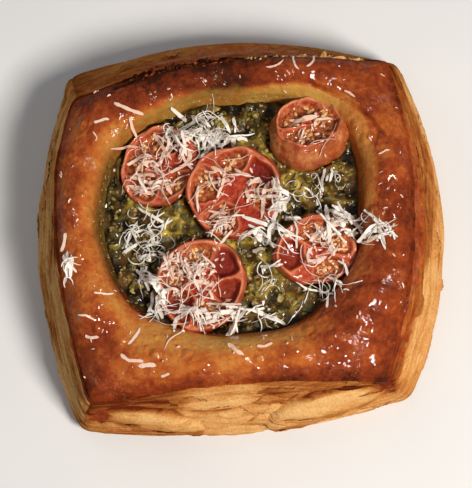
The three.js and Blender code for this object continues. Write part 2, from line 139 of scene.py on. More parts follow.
TOMATOES = [
    Tomato("middle", (-0.6, 8.5, 31.0), (13.1, 12.9), 8.6, 1.4, 3, 200, 20, 0.1, 1, [
        (33, 32, 0.46, 0.87, 0.0), (94, 26, 0.46, 0.90, 0.7), (166, 28, 0.34, 0.88, 1.0),
        (248, 30, 0.3, 0.88, 1.0), (350, 19, 0.36, 0.88, 0.9),
    ]),
    Tomato("back_right", (19.6, 25.3, 27.4), (11.2, 10.0), 9.6, 6.0, 18, 84, 10, 1.0, 2, [
        (270, 66, 0.06, 0.84, 1.0), (150, 42, 0.2, 0.9, 0.9), (20, 46, 0.16, 0.9, 1.0),
        (86, 25, 0.3, 0.88, 0.6),
    ]),
    Tomato("front_left", (-9.6, -17.0, 29.6), (13.0, 12.2), 8.4, 1.6, 4, 300, 65, 0.1, 3, [
        (42, 28, 0.36, 0.92, 0.0), (344, 23, 0.32, 0.88, 0.15), (98, 28, 0.34, 0.88, 1.0),
        (158, 27, 0.36, 0.88, 0.9), (222, 30, 0.32, 0.9, 0.2), (288, 28, 0.3, 0.88, 1.0),
    ]),
    Tomato("right", (21.4, -7.4, 28.4), (11.6, 9.6), 8.4, 2.4, 13, 325, 12, 0.25, 4, [
        (188, 38, 0.32, 0.9, 0.1), (84, 50, 0.1, 0.84, 1.0), (300, 33, 0.26, 0.88, 0.9),
        (16, 27, 0.38, 0.88, 1.0),
    ]),
    Tomato("back_left", (-21.3, 16.8, 27.6), (11.9, 10.6), 8.2, 1.4, 7, 170, 59, 0.3, 5, [
        (112, 27, 0.3, 0.88, 0.8), (60, 22, 0.38, 0.88, 0.0), (170, 27, 0.34, 0.88, 1.0),
        (236, 31, 0.3, 0.88, 1.0), (310, 29, 0.34, 0.88, 0.9),
    ]),
]
# Lobes round a tomato's skin: their number, and their height as a share of the radius.
LOBES = ((3, 0.02), (7, 0.012))


# ---------------------------------------------------------------- numbers and noise


def unevenness(x, y, size, seed):
    """The smooth unevenness that the CAD part uses, from about -1 to 1."""
    total = 0.0
    for i in range(4):
        heading = seed * 1.3 + i * 2.4
        stretch = 1 + 0.37 * i
        along = x * np.cos(heading) + y * np.sin(heading)
        total = total + np.sin(TURN * along * stretch / (2 * size) + seed * (i + 1))
    return total / 2.6


def cell_noise(points, size, seed):
    """Smooth random noise from -1 to 1 at points (..., 3), with features about `size` mm."""
    scaled = np.asarray(points, float) / size
    cell = np.floor(scaled).astype(np.int64)
    part = scaled - cell
    part = part * part * (3 - 2 * part)
    total = np.zeros(part.shape[:-1])
    for corner in np.ndindex(2, 2, 2):
        key = cell + np.array(corner)
        mix = (key[..., 0] * 73856093) ^ (key[..., 1] * 19349663) ^ (key[..., 2] * 83492791)
        mix = (mix ^ (seed * 7919)) & 0xFFFFFFFF
        mix = ((mix ^ (mix >> 15)) * 2246822519) & 0xFFFFFFFF
        mix = ((mix ^ (mix >> 13)) * 3266489917) & 0xFFFFFFFF
        value = ((mix ^ (mix >> 16)) & 0xFFFF) / 32767.5 - 1
        weight = np.prod(np.where(np.array(corner), part, 1 - part), axis=-1)
        total += value * weight
    return total


def rough_noise(points, size, seed, octaves=3):
    """Noise with finer and fainter noise on top of it."""
    total = 0.0
    for octave in range(octaves):
        total = total + cell_noise(points, size / 2**octave, seed + 31 * octave) / 2**octave
    return total / 1.5


def smooth_step(low, high, value):
    share = np.clip((value - low) / (high - low), 0, 1)
    return share * share * (3 - 2 * share)


def bell(value, middle, width):
    return np.exp(-(((value - middle) / width) ** 2))


def spots(x, y, z=0.0):
    """Points (..., 3) at the given coordinates."""
    return np.stack(np.broadcast_arrays(x, y, z), axis=-1)


def by_bearing(bearing, table, column=1):
    """The value of a table with a bearing in front of each row, interpolated around."""
    return np.interp(bearing, [row[0] for row in table], [row[column] for row in table], period=360)


# ---------------------------------------------------------------- shapes shared with the CAD


def outline_points(outline, turns):
    """Points (N, 2) of an outline, `turns` running from 0 to 4 over its four sides."""
    turns = np.asarray(turns, float)
    corners, bows, peaks = (np.array(column) for column in zip(*outline))
    side = np.floor(turns).astype(int) % 4
    along = turns - np.floor(turns)
    run = corners[(side + 1) % 4] - corners[side]
    skewed = along ** (math.log(0.5) / np.log(peaks[side]))
    push = bows[side] * np.abs(np.sin(math.pi * skewed)) ** BOW_FLATNESS
    push = push / np.hypot(run[..., 0], run[..., 1])
    outward = np.stack([run[..., 1], -run[..., 0]], axis=-1)
    return corners[side] + run * along[..., None] + outward * push[..., None]


def soft_outline(outline, turns):
    """An outline whose corners are slightly rounded."""
    shifts = [k * CORNER_SOFTNESS for k in range(-2, 3)]
    return np.mean([outline_points(outline, turns + shift) for shift in shifts], axis=0)


def recess_radius(angle):
    towards_square = np.maximum(0, np.cos(angle - RECESS_SQUARE_ANGLE)) ** 4
    power = RECESS_ROUNDNESS + RECESS_SQUARER * towards_square
    across, deep = RECESS_RADII
    total = np.abs(np.cos(angle) / across) ** power + np.abs(np.sin(angle) / deep) ** power
    waver = RECESS_WAVER * (np.sin(5 * angle + 1) + 0.6 * np.sin(9 * angle + 4))
    return total ** (-1 / power) + waver


def angle_from_recess(x, y):
    return np.arctan2(y - RECESS_CENTRE[1], x - RECESS_CENTRE[0])


def around_recess(angle, radius):
    """x and y at an angle and a distance from the middle of the recess."""
    return RECESS_CENTRE[0] + radius * np.cos(angle), RECESS_CENTRE[1] + radius * np.sin(angle)


def recess_points(angle, inset):
    return np.stack(around_recess(angle, recess_radius(angle) - inset), axis=-1)


def droop(x, y):
    corners = [corner for corner, _, _ in SKIN_OUTLINE]
    nearest = np.min([np.hypot(x - cx, y - cy) for cx, cy in corners], axis=0)
    return CORNER_DROOP * np.exp(-((nearest / DROOP_REACH) ** 2))


def rim_height(x, y, share):
    arch = np.sin(math.pi * share ** (math.log(0.5) / math.log(RIM_PEAK))) ** RIM_ARCH
    edge = EDGE_HEIGHT - droop(x, y)
    swell = RIM_RISE + RIM_SWELL * unevenness(x, y, 16, 3)
    return edge + (LIP_HEIGHT - edge) * share + swell * arch


def wall_inset(height):
    return np.interp(height, *zip(*reversed(WALL_LEAN)))


# ---------------------------------------------------------------- meshes


def to_frame(points):
    """Plan millimetres to the row frame in metres."""
    return (np.asarray(points, float) - PLAN_MIDDLE) * MM


def added(name, data):
    """A new object that is part of the scene."""
    thing = bpy.data.objects.new(name, data)
    bpy.context.scene.collection.objects.link(thing)
    return thing


def make_piece(name, nodes, points, faces, material, attributes, smooth=True):
    """A piece from plan points (N, 3), faces and a float attribute for each name."""
    mesh = bpy.data.meshes.new(name)
    mesh.from_pydata(to_frame(points).tolist(), [], [list(face) for face in faces])
    for key, values in attributes.items():
        layer = mesh.attributes.new(key, "FLOAT", "POINT")
        layer.data.foreach_set("value", np.asarray(values, np.float32).ravel())
    mesh.polygons.foreach_set("use_smooth", [smooth] * len(mesh.polygons))
    mesh.materials.append(material)
    piece = added(name, mesh)
    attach(piece, "root")
    if nodes:
        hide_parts(*nodes)
    return piece


def make_ring_piece(name, slot, node, bands, ends, material, **looks):
    """A closed piece that replaces a node, from bands of rings (R, C, 3), the lowest first.

    `ends` are the points that close it, and each look is a number or an array for each band."""
    rings = np.concatenate(bands)
    count, columns, _ = rings.shape
    column = np.arange(columns)
    following = (column + 1) % columns
    low = (np.arange(count - 1) * columns)[:, None]
    corners = [low + column, low + following, low + columns + following, low + columns + column]
    first, top = count * columns, (count - 1) * columns
    faces = [(first, b, a) for a, b in zip(column, following)]
    faces.extend(np.stack(corners, axis=-1).reshape(-1, 4).tolist())
    faces.extend((top + a, top + b, first + 1) for a, b in zip(column, following))
    values = {}
    for key, parts in looks.items():
        shade = np.concatenate([part + 0 * band[..., 0] for part, band in zip(parts, bands)])
        values[key] = [*shade.ravel(), np.mean(shade[0]), np.mean(shade[-1])]
    points = np.concatenate([rings.reshape(-1, 3), ends])
    return make_piece(name, [node], points, faces, material, values)


def make_scatter(name, nodes, shapes, material, smooth=True):
    """One piece from many (points, faces, looks), a look being a number for the whole shape."""
    faces, offset = [], 0
    for points, shape_faces, _ in shapes:
        faces.extend([tuple(i + offset for i in face) for face in shape_faces])
        offset += len(points)
    counts = [len(points) for points, _, _ in shapes]
    values = {key: np.repeat([looks[key] for *_, looks in shapes], counts) for key in shapes[0][2]}
    points = np.concatenate([points for points, _, _ in shapes])
    make_piece(name, nodes, points, faces, material, values, smooth)


# ---------------------------------------------------------------- node materials

SHADER_INPUTS = {
    "colour": "Base Color",
    "roughness": "Roughness",
    "specular": "Specular IOR Level",
    "coat": "Coat Weight",
    "coat_roughness": "Coat Roughness",
    "subsurface": "Subsurface Weight",
    "subsurface_scale": "Subsurface Scale",
    "subsurface_radius": "Subsurface Radius",
}


class Value:
    """The output of a node. Its operators add the nodes that work them out."""

    def __init__(self, nodes, socket):
        self.nodes, self.socket = nodes, socket

    def __add__(self, other):
        return self.nodes.math("ADD", self, other)

    def __sub__(self, other):
        return self.nodes.math("SUBTRACT", self, other)

    def __mul__(self, other):
        return self.nodes.math("MULTIPLY", self, other)

    def __pow__(self, other):
        return self.nodes.math("POWER", self, other)


class Nodes:
    """A material's node tree, with short calls for the nodes that the materials use."""

    def __init__(self, name):
        self.material = bpy.data.materials.new(name)
        self.material.use_nodes = True
        self.tree = self.material.node_tree
        self.shader = self.tree.nodes["Principled BSDF"]
        self.place = self.add("ShaderNodeTexCoord", "Object", {})

    def feed(self, socket, value):
        if isinstance(value, Value):
            self.tree.links.new(value.socket, socket)
        else:
            socket.default_value = value

    def add(self, kind, output, inputs, **settings):
        """The output of a new node that is fed with `inputs`."""
        node = self.tree.nodes.new(kind)
        for key, value in settings.items():
            setattr(node, key, value)
        for key, value in inputs.items():
            self.feed(node.inputs[key], value)
        return Value(self, node.outputs[output])

    def attribute(self, name):
        return self.add("ShaderNodeAttribute", "Fac", {}, attribute_name=name)

    def noise(self, size_mm, detail=4.0, roughness=0.55, upright=1.0):
        """Noise of a size, `upright` times as fine from bottom to top."""
        place = self.place
        if upright != 1.0:
            scaled = {"Vector": place, "Scale": (1, 1, upright)}
            place = self.add("ShaderNodeMapping", "Vector", scaled)
        inputs = {"Vector": place, "Scale": 1 / (size_mm * MM)}
        inputs |= {"Detail": detail, "Roughness": roughness}
        return self.add("ShaderNodeTexNoise", "Fac", inputs)

    def cells(self, size_mm):
        inputs = {"Vector": self.place, "Scale": 1 / (size_mm * MM)}
        return self.add("ShaderNodeTexVoronoi", "Distance", inputs)

    def math(self, operation, first, second):
        return self.add("ShaderNodeMath", 0, {0: first, 1: second}, operation=operation)

    def spread(self, value, low, high, out_low=0.0, out_high=1.0):
        """A value mapped from one range to another, and kept within it."""
        inputs = dict(enumerate((value, low, high, out_low, out_high)))
        return self.add("ShaderNodeMapRange", "Result", inputs, clamp=True)

    def ramp(self, value, *stops):
        """Colours that blend from stop to stop; a stop is a value, red, green and blue."""
        node = self.tree.nodes.new("ShaderNodeValToRGB")
        elements = node.color_ramp.elements
        while len(elements) < len(stops):
            elements.new(0.5)
        for element, (at, *colour) in zip(elements, stops):
            element.position = at
            element.color = (*colour, 1)
        self.feed(node.inputs["Fac"], value)
        return Value(self, node.outputs["Color"])

    def mix(self, share, first, second, blend="MIX"):
        ends = [(*end, 1) if isinstance(end, tuple) else end for end in (first, second)]
        inputs = {0: share, 6: ends[0], 7: ends[1]}
        return self.add("ShaderNodeMix", 2, inputs, data_type="RGBA", blend_type=blend)

    def bump(self, height, depth_mm, socket="Normal"):
        inputs = {"Strength": 1.0, "Distance": depth_mm * MM, "Height": height}
        self.feed(self.shader.inputs[socket], self.add("ShaderNodeBump", "Normal", inputs))

    def finished(self, **values):
        for key, value in values.items():
            self.feed(self.shader.inputs[SHADER_INPUTS[key]], value)
        return self.material


# Skin of the crust, from pale to burnt.
YELLOW = (0.56, 0.30, 0.065)
GOLDEN = (0.52, 0.205, 0.042)
ORANGE = (0.43, 0.108, 0.018)
RED_BROWN = (0.25, 0.040, 0.008)
DARK_BROWN = (0.13, 0.021, 0.006)
BURNT = (0.050, 0.013, 0.006)
PALE_BLISTER = (0.72, 0.40, 0.17)
OILY = (0.26, 0.17, 0.030)
# Layered sides, from pale to baked.
CREAM = (0.76, 0.44, 0.17)
BISCUIT = (0.60, 0.27, 0.08)
TOASTED = (0.37, 0.12, 0.027)


def crust_material():
    n = Nodes("crust")
    mottle = n.noise(6.0, 6, 0.6) * 0.66 + n.noise(1.5, 6, 0.75) * 0.34
    tone = n.attribute("bake") + (mottle - 0.5) * 1.6
    skin = n.ramp(
        n.spread(tone, -0.25, 1.0), (0.0, *YELLOW), (0.22, *GOLDEN), (0.44, *ORANGE),
        (0.67, *RED_BROWN), (0.88, *DARK_BROWN), (1.0, *BURNT),
    )
    clusters = n.spread(n.noise(7.0, 3), 0.55, 0.68)
    specks = n.spread(n.cells(0.8), 0.08, 0.3, 1.0, 0.0) * clusters
    skin = n.mix(specks * 0.55, skin, PALE_BLISTER)
    oil = n.attribute("oil") * n.spread(n.noise(1.6, 4), 0.35, 0.6, 0.35, 1.0)
    skin = n.mix(oil, skin, OILY)

    uneven = n.noise(5.0, 6, 0.62, 6.0) * 0.8 + n.noise(9.0, 3, 0.5, 2.5) * 0.5
    side_tone = n.attribute("layer") + (uneven - 0.65)
    side_stops = (0.0, *CREAM), (0.3, *BISCUIT), (0.62, *TOASTED), (0.98, *DARK_BROWN)
    side = n.ramp(side_tone, *side_stops)
    crumb = n.ramp(n.noise(0.6, 3), (0.35, 0.80, 0.76, 0.72), (0.65, 1, 1, 1))
    side = n.mix(1.0, side, crumb, "MULTIPLY")

    glaze = n.attribute("glaze")
    n.bump(n.noise(0.45, 3) * 0.5 + n.noise(1.6, 3) * 1.2 + specks * 0.7, 0.3)
    n.bump(n.noise(1.7, 3, 0.6) * (clusters + 0.22), 0.7, "Coat Normal")
    return n.finished(
        colour=n.mix(n.spread(glaze, 0.05, 0.36), side, skin),
        roughness=0.7,
        specular=0.0,
        coat=glaze**3.0 * n.spread(tone, 0.6, 1.0, 0.9, 0.2),
        coat_roughness=0.07,
    )


def pesto_material():
    n = Nodes("pesto")
    # Painted shade in the low places, down to near black, and painted light on the high lumps.
    tone = n.noise(3.6, 5) * 0.75 + n.noise(1.0, 4) * 0.35 + n.attribute("height") * 0.4
    colour = n.ramp(
        tone, (0.32, 0.008, 0.005, 0.002), (0.47, 0.050, 0.028, 0.006),
        (0.60, 0.130, 0.076, 0.011), (0.76, 0.30, 0.200, 0.024), (0.94, 0.55, 0.41, 0.07),
    )
    brown = n.spread(n.noise(6.0, 2), 0.5, 0.68)
    colour = n.mix(brown * 0.65, colour, (0.15, 0.066, 0.018))
    n.bump(n.noise(0.6, 4) + n.cells(0.9) * 0.5, 0.3)
    rough = n.spread(n.noise(1.4, 2), 0.35, 0.65, 0.3, 0.7)
    return n.finished(colour=colour, roughness=rough, specular=0.1, coat=0.36, coat_roughness=0.08)


def bits_material():
    """From dark leaf over green and pale leaf to cheese and nut."""
    n = Nodes("pesto_bits")
    colour = n.ramp(
        n.attribute("kind"), (0.0, 0.038, 0.034, 0.007), (0.35, 0.13, 0.100, 0.013),
        (0.6, 0.32, 0.245, 0.03), (0.82, 0.50, 0.36, 0.12), (1.0, 0.30, 0.13, 0.035),
    )
    shade = n.spread(n.noise(0.6, 3), 0.3, 0.7)
    shade = n.ramp(shade, (0.0, 0.45, 0.45, 0.45), (1.0, 1, 1, 1))
    n.bump(n.noise(0.35, 3), 0.12)
    colour = n.mix(1.0, colour, shade, "MULTIPLY")
    return n.finished(colour=colour, roughness=0.38, coat=0.2, coat_roughness=0.15)


def tomato_material():
    n = Nodes("tomato")
    flesh = n.ramp(
        n.noise(2.4, 4) * 0.6 + n.noise(0.7, 4, 0.65) * 0.4, (0.32, 0.20, 0.011, 0.005),
        (0.46, 0.36, 0.028, 0.010), (0.56, 0.45, 0.054, 0.019), (0.70, 0.58, 0.15, 0.062),
    )
    flesh = n.mix(n.attribute("pale"), flesh, (0.66, 0.22, 0.10))
    # Painted shade: sunken chambers that gel does not fill are painted near black.
    flesh = n.mix(n.attribute("hollow"), flesh, (0.14, 0.007, 0.005))
    gel = n.ramp(
        n.noise(1.2, 4, 0.6), (0.32, 0.15, 0.016, 0.005), (0.46, 0.34, 0.070, 0.016),
        (0.58, 0.50, 0.16, 0.038), (0.75, 0.70, 0.34, 0.12),
    )
    cut = n.mix(n.attribute("gel"), flesh, gel)
    streaks = n.noise(3.0, 5, 0.65, 0.35)
    skin = n.ramp(
        streaks, (0.3, 0.22, 0.015, 0.008), (0.52, 0.37, 0.038, 0.014), (0.75, 0.50, 0.12, 0.035)
    )
    peeled = n.ramp(
        streaks, (0.3, 0.28, 0.035, 0.012), (0.52, 0.44, 0.11, 0.030), (0.75, 0.64, 0.28, 0.10)
    )
    skin = n.mix(n.attribute("peeled"), skin, peeled)
    colour = n.mix(n.attribute("skin"), cut, skin)
    n.bump(n.noise(0.6, 4, 0.65) * 0.9 + n.noise(2.2, 2) * 0.7, 0.42)
    return n.finished(
        colour=n.mix(n.attribute("char"), colour, (0.10, 0.018, 0.008)),
        roughness=0.5,
        specular=0.15,
        coat=n.spread(n.attribute("gel"), 0.0, 1.0, 0.5, 0.9),
        coat_roughness=0.07,
        subsurface=0.04,
        subsurface_scale=0.001,
        subsurface_radius=(1.0, 0.25, 0.1),
    )


def seed_material():
    n = Nodes("tomato_seed")
    colour = n.ramp(n.noise(1.5, 2), (0.3, 0.62, 0.26, 0.08), (0.7, 0.78, 0.50, 0.22))
    n.bump(n.noise(0.3, 2), 0.05)
    return n.finished(colour=colour, roughness=0.25, coat=0.4, coat_roughness=0.08)


def cheese_material():
    """White, reddened by tomato where `stained` is above 0 and greened by pesto below it."""
    n = Nodes("grated_cheese")
    stained = n.attribute("stained")
    colour = n.ramp(n.noise(2.0, 3), (0.3, 0.90, 0.81, 0.70), (0.7, 0.95, 0.91, 0.85))
    colour = n.mix(n.spread(stained, 0.0, 1.0), colour, (0.82, 0.46, 0.31))
    colour = n.mix(n.spread(stained, 0.0, -1.0), colour, (0.52, 0.48, 0.28))
    n.bump(n.noise(0.3, 3), 0.04)
    return n.finished(
        colour=colour,
        roughness=0.35,
        specular=0.35,
        subsurface=0.35,
        subsurface_scale=0.0005,
        subsurface_radius=(1.0, 0.85, 0.7),
    )


def floor_material():
    n = Nodes("pale_floor")
    colour = n.ramp(n.noise(60.0, 2), (0.3, 0.70, 0.70, 0.70), (0.7, 0.73, 0.73, 0.725))
    return n.finished(colour=colour, roughness=0.8)


# ---------------------------------------------------------------- crust: layered sides

SIDE_COLUMNS = 640
ALL_AROUND = np.arange(SIDE_COLUMNS) * 4 / SIDE_COLUMNS
LEAF_ROWS = 21
SHEETS_PER_LEAF = 3.4
SHEET_DEPTH = 0.55
GAP_DEPTH = 0.4
# Height that the noise takes a leaf to have.
WALK_PER_LEAF = 5
SIDE_TOP_INNER = 2.0
FOLD_CREASE = 1.0
# Sheets that hang down the front side: place along and up, half sizes, thickness, climb
# and how much darker they are.
SHEETS = [
    (0.44, 0.82, 0.14, 0.15, 1.0, 0.3, -0.1), (0.47, 0.54, 0.11, 0.13, 0.8, 1.1, 0.02),
    (0.53, 0.33, 0.10, 0.11, 0.7, 1.3, -0.06), (0.41, 0.30, 0.07, 0.09, 0.5, -0.5, 0.12),
    (0.20, 0.90, 0.15, 0.05, 0.5, -0.5, 0.1), (0.70, 0.88, 0.17, 0.06, 0.6, 0.25, 0.08),
    (0.62, 0.76, 0.09, 0.06, 0.5, 0.9, 0.16), (0.10, 0.28, 0.07, 0.10, 0.5, -0.4, 0.14),
    (0.90, 0.36, 0.07, 0.12, 0.6, 1.6, 0.0),
]
# How browned the top of the front side is: place along, amount.
FRONT_BROWNING = [
    (0.0, 0.45), (0.1, 0.52), (0.3, 0.48), (0.38, 0.12), (0.52, 0.1), (0.6, 0.42),
    (0.9, 0.46), (1.0, 0.5),
]
# Where the browned band of the right side ends below: place along, place up.
BAND_EDGE = [
    (0.0, 0.74), (0.1, 0.79), (0.2, 0.76), (0.33, 0.63), (0.43, 0.52), (0.55, 0.42),
    (0.64, 0.36), (0.72, 0.37), (0.8, 0.42), (0.92, 0.56), (1.0, 0.62),
]
# How dark a side is where nothing browns it, and the band of the right side above that.
SIDE_TONE = 0.08
BAND_TONE = 0.45
# How much more browned each side is, and how baked.
SIDE_BROWNING = (0.03, 0.1, 0.36, 0.0)
SIDE_BAKE = (0.6, 0.5, 0.36, 0.5)
# How uneven the left side is in mm, and in its browning.
LEFT_CRUMPLE = 0.7
LEFT_MOTTLE = 0.85
CORNER_CRUMPLE = 0.9
# The notch at the front right corner: place around, half width, depth, browning.
NOTCH_AT = 1.0
NOTCH_WIDTH = 0.012
NOTCH_DEPTH = 1.6
NOTCH_BAKE = 0.3
# Places on the sides where egg glaze ran down: side, along, up, half length, half height.
GLAZE_RUNS = [
    (FRONT, 0.05, 0.66, 0.045, 0.2), (FRONT, 0.98, 0.8, 0.035, 0.25),
    (RIGHT, 0.45, 0.9, 0.5, 0.2), (BACK, 0.5, 0.85, 0.6, 0.3),
]


def pushed_out(points, angle, reach):
    """Points (..., 3) moved level along an angle by `reach` mm."""
    return points + spots(np.cos(angle), np.sin(angle)) * np.asarray(reach)[..., None]


def lens(along, up, shape):
    """Place in a lens-shaped fold, -1 at its lower edge and 1 at its upper, and its fullness."""
    at, at_up, half, half_up, _, climb = shape
    ends = np.clip(1 - ((along - at) / half) ** 2, 0, 1) ** 0.4
    return (up - at_up - climb * (along - at)) / np.maximum(half_up * ends, 1e-4), ends


def fold_push(side, along, up):
    """How far the folds push a place on the sides outwards, and how much darker they make it:
    baked brown, with painted shade under the pillows and sheets and in the creases.

    The swollen folds of the front side are pillows with a crisp upper edge."""
    push = np.zeros(np.broadcast(side, along, up).shape)
    darkened = 0 * push
    for fold_side, *shape in FOLDS:
        at, at_up, half, half_up, out, climb = shape
        here = side == fold_side
        if fold_side == FRONT:
            place, ends = lens(along, up, shape)
            inside = here * ends * (np.abs(place) < 1)
            round_top = np.clip(1 - np.abs(place) ** 6, 0, 1) ** 0.5
            profile = np.where(place > 0, round_top, np.clip(1 - place**2, 0, 1))
            crease = here * ends * bell(place, 1.13, 0.12)
            push = push + out * inside * profile - FOLD_CREASE * crease
            # Pillows pale on top and dark below: baked colour, and painted shade beneath and in the
            # crease.
            shade = 0.42 * smooth_step(0.6, -0.4, place) - 0.14
            darkened = darkened + 0.5 * crease + inside * shade
        else:
            above = (up - at_up - climb * (along - at)) / half_up
            fullness = np.exp(-(((along - at) / half) ** 4)) * np.exp(-(above**2))
            push = push + here * out * fullness
    for *shape, darker in SHEETS:
        place, ends = lens(along, up, shape)
        here = (side == FRONT) * ends
        inside = here * smooth_step(-1.0, -0.88, place) * smooth_step(1.0, -0.6, place)
        # Painted shadow in the gap below each hanging sheet; `darker` is the sheet's own tone.
        gap = here * bell(place, -1.16, 0.14)
        push = push + shape[4] * inside - 0.4 * gap
        darkened = darkened + 0.55 * gap + darker * inside
    return push, darkened


def front_browning(along, up, swollen):
    """How much darker than the other sides the front side is."""
    top = np.interp(along, *zip(*FRONT_BROWNING)) * smooth_step(0.6, 0.74, up) * (1 - swollen)
    left_end = smooth_step(0.42, 0.3, along) * smooth_step(0.02, 0.08, along)
    low = 0.3 * smooth_step(0.5, 0.22, up) * left_end
    low = low + 0.22 * bell(along, 0.62, 0.08) * bell(up, 0.2, 0.13)
    return top + low + 0.13 * smooth_step(0.42, 0.1, along) - 0.25 * smooth_step(0.09, 0.03, up)


def run_glaze(side, along, up, walk):
    """How glazed a place on the sides is."""
    glaze = 0 * up
    grain = 0.55 * rough_noise(walk, 2.5, 27)
    for run_side, at, at_up, half, half_up in GLAZE_RUNS:
        run = bell(along, at, half) * bell(up, at_up, half_up) + grain
        glaze = np.maximum(glaze, (side == run_side) * 0.62 * smooth_step(0.3, 0.95, run))
    return glaze


def side_place(turn, up):
    """Points (..., 3) of the sides without leaves, which flare out to the belly."""
    flare = np.where(
        up > BELLY_SHARE,
        1 - (np.maximum(up - BELLY_SHARE, 0) / (1 - BELLY_SHARE)) ** FLARE_CURVE,
        1 - FOOT_TUCK * (1 - up / BELLY_SHARE) ** 2,
    )
    skin = soft_outline(SKIN_OUTLINE, turn)
    place = skin + (soft_outline(BELLY_OUTLINE, turn) - skin) * flare[..., None]
    height = up * (EDGE_HEIGHT - droop(skin[..., 0], skin[..., 1]) - SKIN_OVERHANG)
    return spots(place[..., 0], place[..., 1], height)


def leaf_sheets(side, along, up, leaf, walk, swollen):
    """The thin sheets that each leaf shows: how far they stand out, how much darker they are.

    They wander up and down and are broken in places, but not on a swollen fold or a calm
    side. The browned band of the right side is given too."""
    x, y = walk[..., 0], walk[..., 1]
    wander = 1.3 * cell_noise(walk * (0.6, 0.6, 0.3), 17, 3)
    wander = wander + 0.3 * cell_noise(walk * (0.7, 0.7, 0.6), 7, 4)
    sheets = leaf * SHEETS_PER_LEAF + 1.4 * wander
    in_sheet = sheets - np.floor(sheets)
    broken = cell_noise(spots(0.6 * x, 0.6 * y, 9 * np.floor(sheets)), 8, 8)
    border = np.interp(along, *zip(*BAND_EDGE)) + 0.04 * wander
    banded = (side == RIGHT) * smooth_step(border - 0.03, border + 0.05, up)
    calm = np.choose(side, [0.3, 0.95 - 0.5 * banded, 0.6, 0.0])
    flaky = smooth_step(-0.5, 0.5, broken) * (1 - 0.9 * swollen) * (1 - 0.75 * calm)
    gap = (1 - in_sheet) ** 6 * smooth_step(0.3, 0.7, broken) * (1 - swollen) * (1 - calm)
    push = SHEET_DEPTH * (in_sheet**2 - 0.4) * flaky - GAP_DEPTH * gap
    # Painted shade low on each sheet and in the gaps, and painted light on its edge, over the
    # layers' own tone.
    shade = 0.38 * (1 - in_sheet) ** 3 - 0.22 * smooth_step(0.7, 1.0, in_sheet)
    return push, flaky * shade + 0.3 * gap, banded


def side_points(turn, leaf):
    """Points of the layered side, how dark and how glazed each is; `leaf` runs to LEAVES."""
    turn, leaf = np.broadcast_arrays(turn, leaf)
    side = np.floor(turn).astype(int) % 4
    along = turn - np.floor(turn)
    from_corner = np.sin(math.pi * along)
    share = leaf / LEAVES
    fan = LEAF_FAN * (np.sin(TURN * along + 2 * side) + 0.6 * np.sin(TURN * 2.3 * along + side))
    up = share + fan * np.sin(math.pi * share) * from_corner**0.3
    place = side_place(turn, up)
    x, y = place[..., 0], place[..., 1]
    walk = spots(x, y, WALK_PER_LEAF * leaf)

    leaf_shape = np.sin(math.pi * (leaf - np.floor(leaf)))
    ragged = 1 + LEAF_RAGGED * unevenness(40 * along, 9 * np.round(leaf), 7, side + 5)
    bulge = 0.8 * LEAF_BULGE * (leaf_shape - 0.5) * ragged * (0.5 + 0.5 * from_corner)
    folds, fold_tone = fold_push(side, along, up)
    folds = folds * from_corner**0.5
    swollen = smooth_step(0.4, 1.3, folds)
    sheets, sheet_tone, banded = leaf_sheets(side, along, up, leaf, walk, swollen)
    left = side == LEFT
    crumbly = 0.12 * rough_noise(walk, 1.7, 12) + 0.25 * cell_noise(walk * (0.7, 0.7, 1.5), 7, 15)
    crumple = CORNER_CRUMPLE * (1 - from_corner) ** 4 * rough_noise(walk * (1, 1, 0.7), 5, 33)
    crumple = crumple + LEFT_CRUMPLE * left * rough_noise(walk * (0.5, 0.5, 1.0), 5, 45)
    push = bulge * (1 - 0.75 * swollen) + folds + sheets + crumbly + crumple
    notch = bell(turn, NOTCH_AT, NOTCH_WIDTH) * smooth_step(0.5, 0.85, up)
    push = np.sin(math.pi * share) ** 0.5 * push - NOTCH_DEPTH * notch

    # Painted shade in the grooves between the leaves.
    groove = 0.2 * (1 - leaf_shape) ** 4 * (1 - swollen)
    tone = SIDE_TONE + np.choose(side, SIDE_BROWNING) + groove + sheet_tone + fold_tone
    tone = tone + (side == FRONT) * front_browning(along, up, swollen) + BAND_TONE * banded
    tone = tone + LEFT_MOTTLE * left * rough_noise(walk * (0.25, 0.25, 1.4), 3.5, 44)
    tone = tone + 0.2 * smooth_step(0.9, 1.0, up) + 0.3 * (1 - from_corner) ** 5 + 0.5 * notch
    points = pushed_out(place, angle_from_recess(x, y), push)
    return points, tone, run_glaze(side, along, up, walk)


def make_crust_side(material):
    """The layered sides and the underside."""
    turns = ALL_AROUND[None, :]
    leaf = np.linspace(0, LEAVES, LEAVES * LEAF_ROWS + 1)[:, None]
    rings, layer, glaze = side_points(turns, leaf)
    bake = np.choose(np.floor(turns).astype(int), SIDE_BAKE) + 0.12 * rough_noise(rings, 6, 59)
    bake = bake + NOTCH_BAKE * bell(turns, NOTCH_AT, 0.05)
    ends = [(*RECESS_CENTRE, 0), (*RECESS_CENTRE, SIDE_TOP_INNER)]
    return make_ring_piece(
        "crust_side", "dough_shell", "dough_shell", [rings], ends, material,
        layer=[layer], bake=[bake], glaze=[glaze],
    )


# ---------------------------------------------------------------- crust: glazed skin

RIM_ROWS = 100
WALL_ROWS = 10
# The skin's sheet from its underside to its edge: outward share and height of each ring.
SKIN_EDGE = [(-3.0, -1.5), (0.3, -0.8), (0.85, -0.7), (1.05, -0.45), (0.9, -0.18), (0.5, -0.04)]

# The tables from here to OIL begin each row with a bearing from the middle of the recess.
# How dark the rim is baked.
BAKE_AROUND = [
    (0, 0.66), (20, 0.52), (42, 0.56), (70, 0.64), (95, 0.82), (118, 0.72), (137, 0.58),
    (160, 0.4), (190, 0.36), (212, 0.38), (226, 0.6), (248, 0.3), (270, 0.2), (292, 0.4),
    (315, 0.56), (335, 0.6),
]
